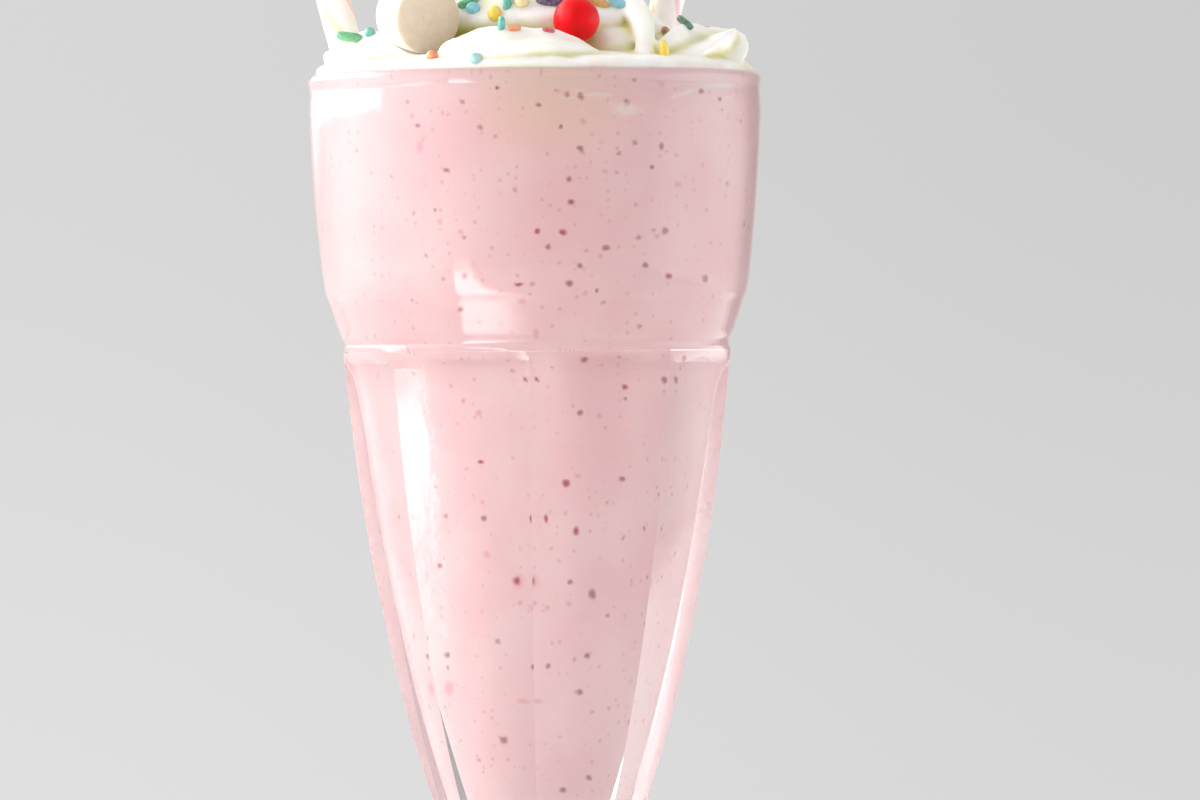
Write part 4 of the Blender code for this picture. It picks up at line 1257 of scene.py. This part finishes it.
def under_cream():
    """The room that the shake and the rim take up under the cream, as one turned block."""
    reach, floor = 0.06, DRINK_TOP - 0.02
    outline = [
        (CREAM_PLUG_RADIUS * 0.5, CREAM_BOTTOM),
        (CREAM_PLUG_RADIUS, CREAM_BOTTOM),
        (CREAM_PLUG_RADIUS, CREAM_ON_RIM),
        (reach, CREAM_ON_RIM),
        (reach, floor),
        (reach * 0.5, floor),
    ]
    return new_piece("under_cream", tube_mesh("under_cream", rings(np.array(outline), 192, 0.0)))


def soft_heights(points):
    """The cream's height seen from above, blurred: the highest point of each cell of a map, times a bell
    curve of frequency after a Fourier transform, which spreads each height over its surroundings."""
    cell = ((points[:, :2] + HEIGHT_MAP_REACH) / HEIGHT_MAP_STEP).astype(int)
    cell = np.clip(cell, 0, HEIGHT_MAP_CELLS - 1)
    heights = np.full((HEIGHT_MAP_CELLS, HEIGHT_MAP_CELLS), GLASS_HEIGHT)
    np.maximum.at(heights, (cell[:, 0], cell[:, 1]), points[:, 2])
    frequency = np.fft.fftfreq(HEIGHT_MAP_CELLS, HEIGHT_MAP_STEP)
    spread = np.exp(-2 * (math.pi * HOLLOW_REACH) ** 2 * (frequency[:, None] ** 2 + frequency[None, :] ** 2))
    blurred = np.fft.ifft2(np.fft.fft2(heights) * spread).real
    return blurred[cell[:, 0], cell[:, 1]]


def paint_hollow_shade(mesh):
    """Store at each point how deep it lies, as the weight of the painted shade, by two measures: how far the
    smoothed surface lies outside it, for creases, and how far it lies below the blurred heights round it, for
    hollows between strokes."""
    points, edges = mesh_arrays(mesh)
    outward = ((smoothed(points, edges, 40) - points) * vertex_normals(mesh)).sum(axis=1)
    crease = np.clip(outward / CREASE_DEPTH, 0.0, 1.0)
    below = np.clip((soft_heights(points) - points[:, 2] - HOLLOW_START) / HOLLOW_DEPTH, 0.0, 1.0)
    hollow = np.maximum(crease, below * (3 - 2 * below) * below)
    mesh.attributes.new("hollow", "FLOAT", "POINT").data.foreach_set("value", hollow.astype(np.float32))
    print(f"share of the cream's points in hollows: {(hollow > 0.5).mean():.2f}")


cutters = [under_cream(), *(rod_cutter(f"{name}_rod", STRAWS[name]) for name in STRAWS)]
cutters += [make_marshmallow("marshmallow_room", TOUCH), make_candy("candy_room", TOUCH)]
cut(cream, cutters)
paint_hollow_shade(cream.data)
dress(cream, "whipped_cream", "whipped_cream", slot="whipped_cream")

# %% [markdown]
# ## The sprinkles
# Sugar rods and balls lie on the cream. Those that the photo shows are placed by where they show: a ray
# goes from the camera through their place in the picture and stops at the cream. The others are scattered
# from above by seeded draws. A sprinkle lies flat on the surface and is sunk in by a third. One rod and one
# ball are made, and whole arrays of copies are turned and moved at once and joined into one mesh for each
# kind.

# %% Where the sprinkles lie
ROD_RADIUS = 0.0009
ROD_LENGTH = 0.0046
BALL_RADIUS = 0.0012
SUGAR = {
    "green": (86, 176, 122),
    "teal": (70, 176, 160),
    "light_teal": (150, 200, 198),
    "orange": (226, 134, 76),
    "yellow": (246, 214, 62),
    "pale_yellow": (246, 236, 170),
    "sky": (120, 200, 216),
    "navy": (62, 44, 96),
    "rose": (206, 70, 110),
    "gold": (214, 160, 60),
    "dark_green": (60, 118, 84),
    "brown": (170, 112, 72),
    "crimson": (190, 30, 52),
}
FRONT_SPRINKLES = [
    ("rod", -0.0349, 0.1908, -8.0, "green", 1.0),
    ("ball", -0.0306, 0.1909, 0.0, "teal", 0.8),
    ("ball", -0.0190, 0.1864, 0.0, "orange", 1.0),
    ("ball", -0.0110, 0.1860, 0.0, "light_teal", 1.0),
    ("rod", -0.0121, 0.1965, 20.0, "green", 1.0),
    ("ball", -0.0114, 0.1953, 0.0, "sky", 1.0),
    ("ball", -0.0074, 0.1944, 0.0, "yellow", 1.15),
    ("rod", -0.0049, 0.1964, 85.0, "teal", 1.0),
    ("rod", -0.0061, 0.1921, 80.0, "teal", 0.75),
    ("rod", -0.0037, 0.1916, 4.0, "orange", 0.55),
    ("ball", -0.0024, 0.1965, 0.0, "pale_yellow", 1.0),
    ("rod", 0.0030, 0.1966, -8.0, "navy", 1.1),
    ("rod", 0.0026, 0.1912, -12.0, "crimson", 0.5),
    ("rod", 0.0078, 0.1972, 5.0, "teal", 1.0),
    ("rod", 0.0115, 0.1966, -30.0, "gold", 1.0),
    ("rod", 0.0158, 0.1962, -35.0, "sky", 1.0),
    ("rod", 0.0242, 0.1866, 90.0, "yellow", 1.15),
    ("ball", 0.0243, 0.1913, 0.0, "brown", 0.7),
    ("rod", 0.0279, 0.1924, -40.0, "dark_green", 0.8),
]
SCATTERED_SPRINKLES = 35
SCATTER_TOP = 0.2215
SCATTER_RADIUS = 0.036
SCATTER_SEED = 11
ROD_SHARE = 0.7
SPRINKLE_SINK = 0.35
SPACING = 0.0052
FRONT_SPACING = 0.0018
STICK_OUT_DEPTH = -0.012
STICK_OUT = 0.6
SIZE_SEED = 5
SIZE_SPREAD = (0.88, 1.12)
ROD_BOW = 0.00028
SCATTER_TRIES = 12
SCATTER_ABOVE = 0.06
# The front of the cream, where only noted sprinkles lie: nearer than this, and lower than this
FRONT_NEAR, FRONT_LOW = -0.006, 0.1985


def distance_to_straw(point, straw):
    """How far a point is from a straw's surface."""
    along = Vector((*straw["lean"], 1.0)).normalized()
    offset = point - Vector(straw["foot"])
    return (offset - along * offset.dot(along)).length - STRAW_RADIUS


def room_round(point):
    """How far a point is from the nearest straw, candy, marshmallow or rim."""
    others = [distance_to_straw(point, straw) for straw in STRAWS.values()]
    others.append((point - Vector(CANDY_CENTRE)).length - CANDY_RADIUS)
    others.append((point - Vector(MARSHMALLOW_CENTRE)).length - MARSHMALLOW_RADIUS)
    others.append(point.z - GLASS_HEIGHT)
    return min(others)


def turned_to(normal, heading):
    """The turn that lays a sprinkle on a surface, with its length along the heading."""
    side = (heading - normal * heading.dot(normal)).normalized()
    return np.array([side, normal.cross(side), normal]).T


def nearest_to_ray(surface, toward):
    """Where a sprinkle sits that sticks out past the cream's outline: between the cream and its own place."""
    place = CAMERA_PLACE + toward * ((STICK_OUT_DEPTH - CAMERA_PLACE.y) / toward.y)
    found, normal, _, _ = surface.find_nearest(place)
    return found + (place - found) * STICK_OUT, normal


def place_sprinkles(cream):
    """Kind, place, normal, heading, colour and size of every sprinkle."""
    surface = BVHTree.FromObject(cream, bpy.context.evaluated_depsgraph_get())
    found = []

    def keep(kind, hit, normal, heading, colour, size, spacing, clearance):
        """Add one, unless it is too close to another piece or sprinkle."""
        if room_round(hit) < clearance or any((hit - other[1]).length < spacing for other in found):
            return
        found.append((kind, hit, normal, heading, colour, size))

    for kind, x, z, turn, colour, size in FRONT_SPRINKLES:
        toward = (Vector((x, 0.0, z)) - CAMERA_PLACE).normalized()
        hit, normal, _, _ = surface.ray_cast(CAMERA_PLACE, toward)
        heading = Vector((math.cos(math.radians(turn)), 0.0, math.sin(math.radians(turn))))
        if hit is None:
            hit, normal = nearest_to_ray(surface, toward)
        normal = (normal - heading * normal.dot(heading)).normalized()
        keep(kind, hit, normal, heading, colour, size, FRONT_SPACING, 0.0004)
    print("seen from the front:", len(found), "of", len(FRONT_SPRINKLES))
    draw = random.Random(SCATTER_SEED)
    wanted = len(found) + SCATTERED_SPRINKLES
    names = sorted(SUGAR)
    for _ in range(SCATTERED_SPRINKLES * SCATTER_TRIES):
        if len(found) >= wanted:
            break
        azimuth = math.radians(draw.uniform(0.0, 360.0))
        radius = SCATTER_RADIUS * math.sqrt(draw.random())
        kind = "rod" if draw.random() < ROD_SHARE else "ball"
        angle = draw.uniform(0.0, math.pi)
        above = GLASS_HEIGHT + SCATTER_ABOVE
        spot = Vector((radius * math.sin(azimuth), -radius * math.cos(azimuth), above))
        hit, normal, _, _ = surface.ray_cast(spot, Vector((0.0, 0.0, -1.0)))
        if hit is None or hit.z > SCATTER_TOP or (hit.y < FRONT_NEAR and hit.z < FRONT_LOW):
            continue
        colour = names[int(abs(hit.x * 9000 + hit.y * 5000)) % len(names)]
        reach = ROD_LENGTH / 2 if kind == "rod" else BALL_RADIUS
        keep(kind, hit, normal, Vector((math.cos(angle), math.sin(angle), 0.3)), colour, 1.0, SPACING, reach)
    return found


sprinkles = place_sprinkles(cream)
print("sprinkles:", len(sprinkles))

# %% Make the sprinkles


def sprinkle_grid(kind):
    """A rod with round ends along X, slightly bowed, or a ball."""
    if kind == "ball":
        return rounded(BALL_RADIUS, BALL_RADIUS, 2.0, 9, 16)
    grid = rounded(ROD_RADIUS, ROD_LENGTH / 2, 3.2, 13, 14)[..., [2, 0, 1]]
    grid[..., 1] += ROD_BOW * (grid[..., 0] / (ROD_LENGTH / 2)) ** 2
    return grid


def make_sprinkles(kind, name):
    """All sprinkles of one kind in one mesh: copies of a grid, each sized, turned, moved and coloured."""
    chosen = [item for item in sprinkles if item[0] == kind]
    grid = sprinkle_grid(kind)
    rows, columns = grid.shape[:2]
    one = np.vstack([grid.reshape(-1, 3), grid[[0, -1]].mean(axis=1)])
    first, last = len(one) - 2, len(one) - 1
    poles = [pole_faces(0, columns, first, False), pole_faces((rows - 1) * columns, columns, last, True)]
    draw = np.random.default_rng(SIZE_SEED)
    size = draw.uniform(*SIZE_SPREAD, (len(chosen), 3)) * np.array([item[5] for item in chosen])[:, None]
    turns = np.array([turned_to(normal, heading) for _, _, normal, heading, _, _ in chosen])
    radius = ROD_RADIUS if kind == "rod" else BALL_RADIUS
    lift = radius * (1 - 2 * SPRINKLE_SINK)
    places = np.array([hit + normal * lift for _, hit, normal, _, _, _ in chosen])
    points = np.einsum("nij,nkj->nki", turns, one[None] * size[:, None, :]) + places[:, None, :]
    step = (np.arange(len(chosen)) * len(one))[:, None, None]
    quads = (ring_faces(rows, columns)[None] + step).reshape(-1, 4)
    triangles = (np.vstack(poles)[None] + step).reshape(-1, 3)
    mesh = mesh_of(name, points.reshape(-1, 3), quads, triangles)
    colours = np.repeat([linear(*SUGAR[item[4]]) for item in chosen], len(one), axis=0)
    attribute = mesh.attributes.new("sugar_colour", "FLOAT_COLOR", "POINT")
    attribute.data.foreach_set("color", colours.astype(np.float32).ravel())
    return new_piece(name, mesh)


for kind in ("rod", "ball"):
    dress(make_sprinkles(kind, f"sugar_{kind}s"), "sugar_sprinkles", "whipped_cream")

# %% [markdown]
# ## Stage and light
# The glass stands on a plain pale floor in a bright room, and the floor fades into it. The room is an even
# grey with two slow shades. Large soft light comes from the left and a little from behind, as from a
# window, and five slow changes of brightness fill in from other sides or hold light back. Two pools of
# light on the floor show in the panels as the bright bands of the photo. The window, the five changes and
# the pools light the drink and show in its glass, but a ray straight from the camera doesn't see them, so
# the background stays plain.

# %% Floor, room and lights
ROOM_GREY = 0.69
ROOM_SHADES = [((1.0, 0.0, 0.0), -0.08, 0.08, -0.07), ((0.0, 0.0, -1.0), -0.04, 0.07, 0.07)]
ROOM_LIGHTS = [
    ((0.0, -1.0, 0.0), 0.0, 0.8, -0.12),
    ((0.90, -0.43, 0.0), 0.4, 1.0, 0.50),
    ((0.94, 0.22, -0.26), 0.70, 0.97, 1.35),
    ((-0.92, -0.12, 0.30), 0.45, 0.97, 1.85),
    ((0.64, 0.77, 0.0), 0.85, 0.98, -0.40),
]
WINDOW_LIMITS = {
    "X": (-1.2, -1.1, -0.42, -0.30),
    "Y": (-0.16, -0.04, 1.1, 1.2),
    "Z": (-0.02, 0.05, 0.60, 0.75),
}
WINDOW_LIGHT = 3.9
FLOOR_RADIUS = 0.9
FLOOR_RINGS, FLOOR_COLUMNS = 24, 96
FLOOR_GREYS = (0.70, 0.69, 0.69, 1.0), (0.73, 0.72, 0.72, 1.0)
POOL_COLOUR = (1.0, 0.97, 0.96, 1.0)
ROOM_COLOUR = (1.0, 0.99, 0.99, 1.0)
# Turn in degrees, limits and brightness of each pool of light on the floor
FLOOR_POOLS = [
    (-46.0, {"X": (-0.86, -0.76, -0.30, -0.08), "Y": (-0.15, -0.09, -0.008, 0.004)}, 7.5),
    (0.0, {"X": (0.03, 0.12, 0.55, 0.75), "Y": (-0.20, -0.05, 0.40, 0.55)}, 0.75),
]


def soft_box(tree, vector, limits):
    """1 inside soft limits along each axis and 0 outside: the soft steps of all limits multiplied."""
    parts = add(tree, "SeparateXYZ", {0: vector}).outputs
    share = None
    for axis, (low_start, low_end, high_start, high_end) in limits.items():
        for first, last, start, end in ((low_start, low_end, 0.0, 1.0), (high_start, high_end, 1.0, 0.0)):
            edge = between(tree, parts[axis], first, last, start, end)
            share = edge if share is None else times(tree, share, edge)
    return share


def make_floor():
    """A disc of rings whose finish fades out towards its edge, with pools of light that the camera misses."""
    radius = np.linspace(0.02, 1.0, FLOOR_RINGS)[:, None] * FLOOR_RADIUS
    turn = np.linspace(0.0, 2 * math.pi, FLOOR_COLUMNS, endpoint=False)
    grid = np.stack([radius * np.cos(turn), radius * np.sin(turn), 0 * radius + 0 * turn], axis=-1)
    points = np.vstack([grid.reshape(-1, 3), [(0.0, 0.0, 0.0)]])
    middle = pole_faces(0, FLOOR_COLUMNS, len(points) - 1, False)
    mesh = mesh_of("floor", points, ring_faces(FLOOR_RINGS, FLOOR_COLUMNS), middle)
    if mesh.polygons[0].normal.z < 0:
        mesh.flip_normals()
    floor = new_piece("floor", mesh)
    finish, tree, shader = new_finish("pale_floor", Roughness=0.9, Specular_IOR_Level=0.0)
    place = on_object(tree)
    speckle = effect(tree, "mottle", Vector=place, Size=0.08, Contrast=0.3)["Mask"]
    tree.links.new(mixed(tree, speckle, *FLOOR_GREYS), shader.inputs["Base Color"])
    light = 0.0
    for turn, limits, strength in FLOOR_POOLS:
        heading = {"Vector": place, "Angle": math.radians(turn)}
        turned = add(tree, "VectorRotate", heading, rotation_type="Z_AXIS").outputs[0]
        pool = soft_box(tree, turned, limits)
        light = maths(tree, "MULTIPLY_ADD", pool, strength, light)
    tree.links.new(times(tree, light, unseen(tree)), shader.inputs["Emission Strength"])
    shader.inputs["Emission Color"].default_value = POOL_COLOUR
    away = length_of(tree, place)
    fade = between(tree, away, FLOOR_RADIUS * 0.6, FLOOR_RADIUS * 0.95, 1.0, 0.0)
    tree.links.new(fade, shader.inputs["Alpha"])
    floor.data.materials.append(finish)


def ray_heading(tree):
    """The direction in which a ray leaves the scene."""
    return add(tree, "TexCoord").outputs["Generated"]


def toward(tree, direction, low, high, change):
    """A change of brightness that grows as a ray points towards a direction, between two cosines."""
    pair = {0: ray_heading(tree), 1: direction}
    cosine = add(tree, "VectorMath", pair, operation="DOT_PRODUCT").outputs["Value"]
    return between(tree, cosine, low, high, 0.0, change)


def make_room():
    """The world: even grey with two slow shades, and the lights, which the camera doesn't see directly."""
    world = bpy.data.worlds.new("room")
    bpy.context.scene.world = world
    world.use_nodes = True
    tree = world.node_tree
    shade, light = ROOM_GREY, times(tree, soft_box(tree, ray_heading(tree), WINDOW_LIMITS), WINDOW_LIGHT)
    for direction, low, high, change in ROOM_SHADES:
        shade = maths(tree, "ADD", shade, toward(tree, direction, low, high, change))
    for direction, low, high, change in ROOM_LIGHTS:
        light = maths(tree, "ADD", light, toward(tree, direction, low, high, change))
    level = maths(tree, "MULTIPLY_ADD", light, unseen(tree), shade)
    background = tree.nodes["Background"]
    background.inputs["Color"].default_value = ROOM_COLOUR
    tree.links.new(level, background.inputs["Strength"])


make_floor()
make_room()
bpy.context.scene.view_settings.view_transform = "Standard"
print("stage and lights ready")
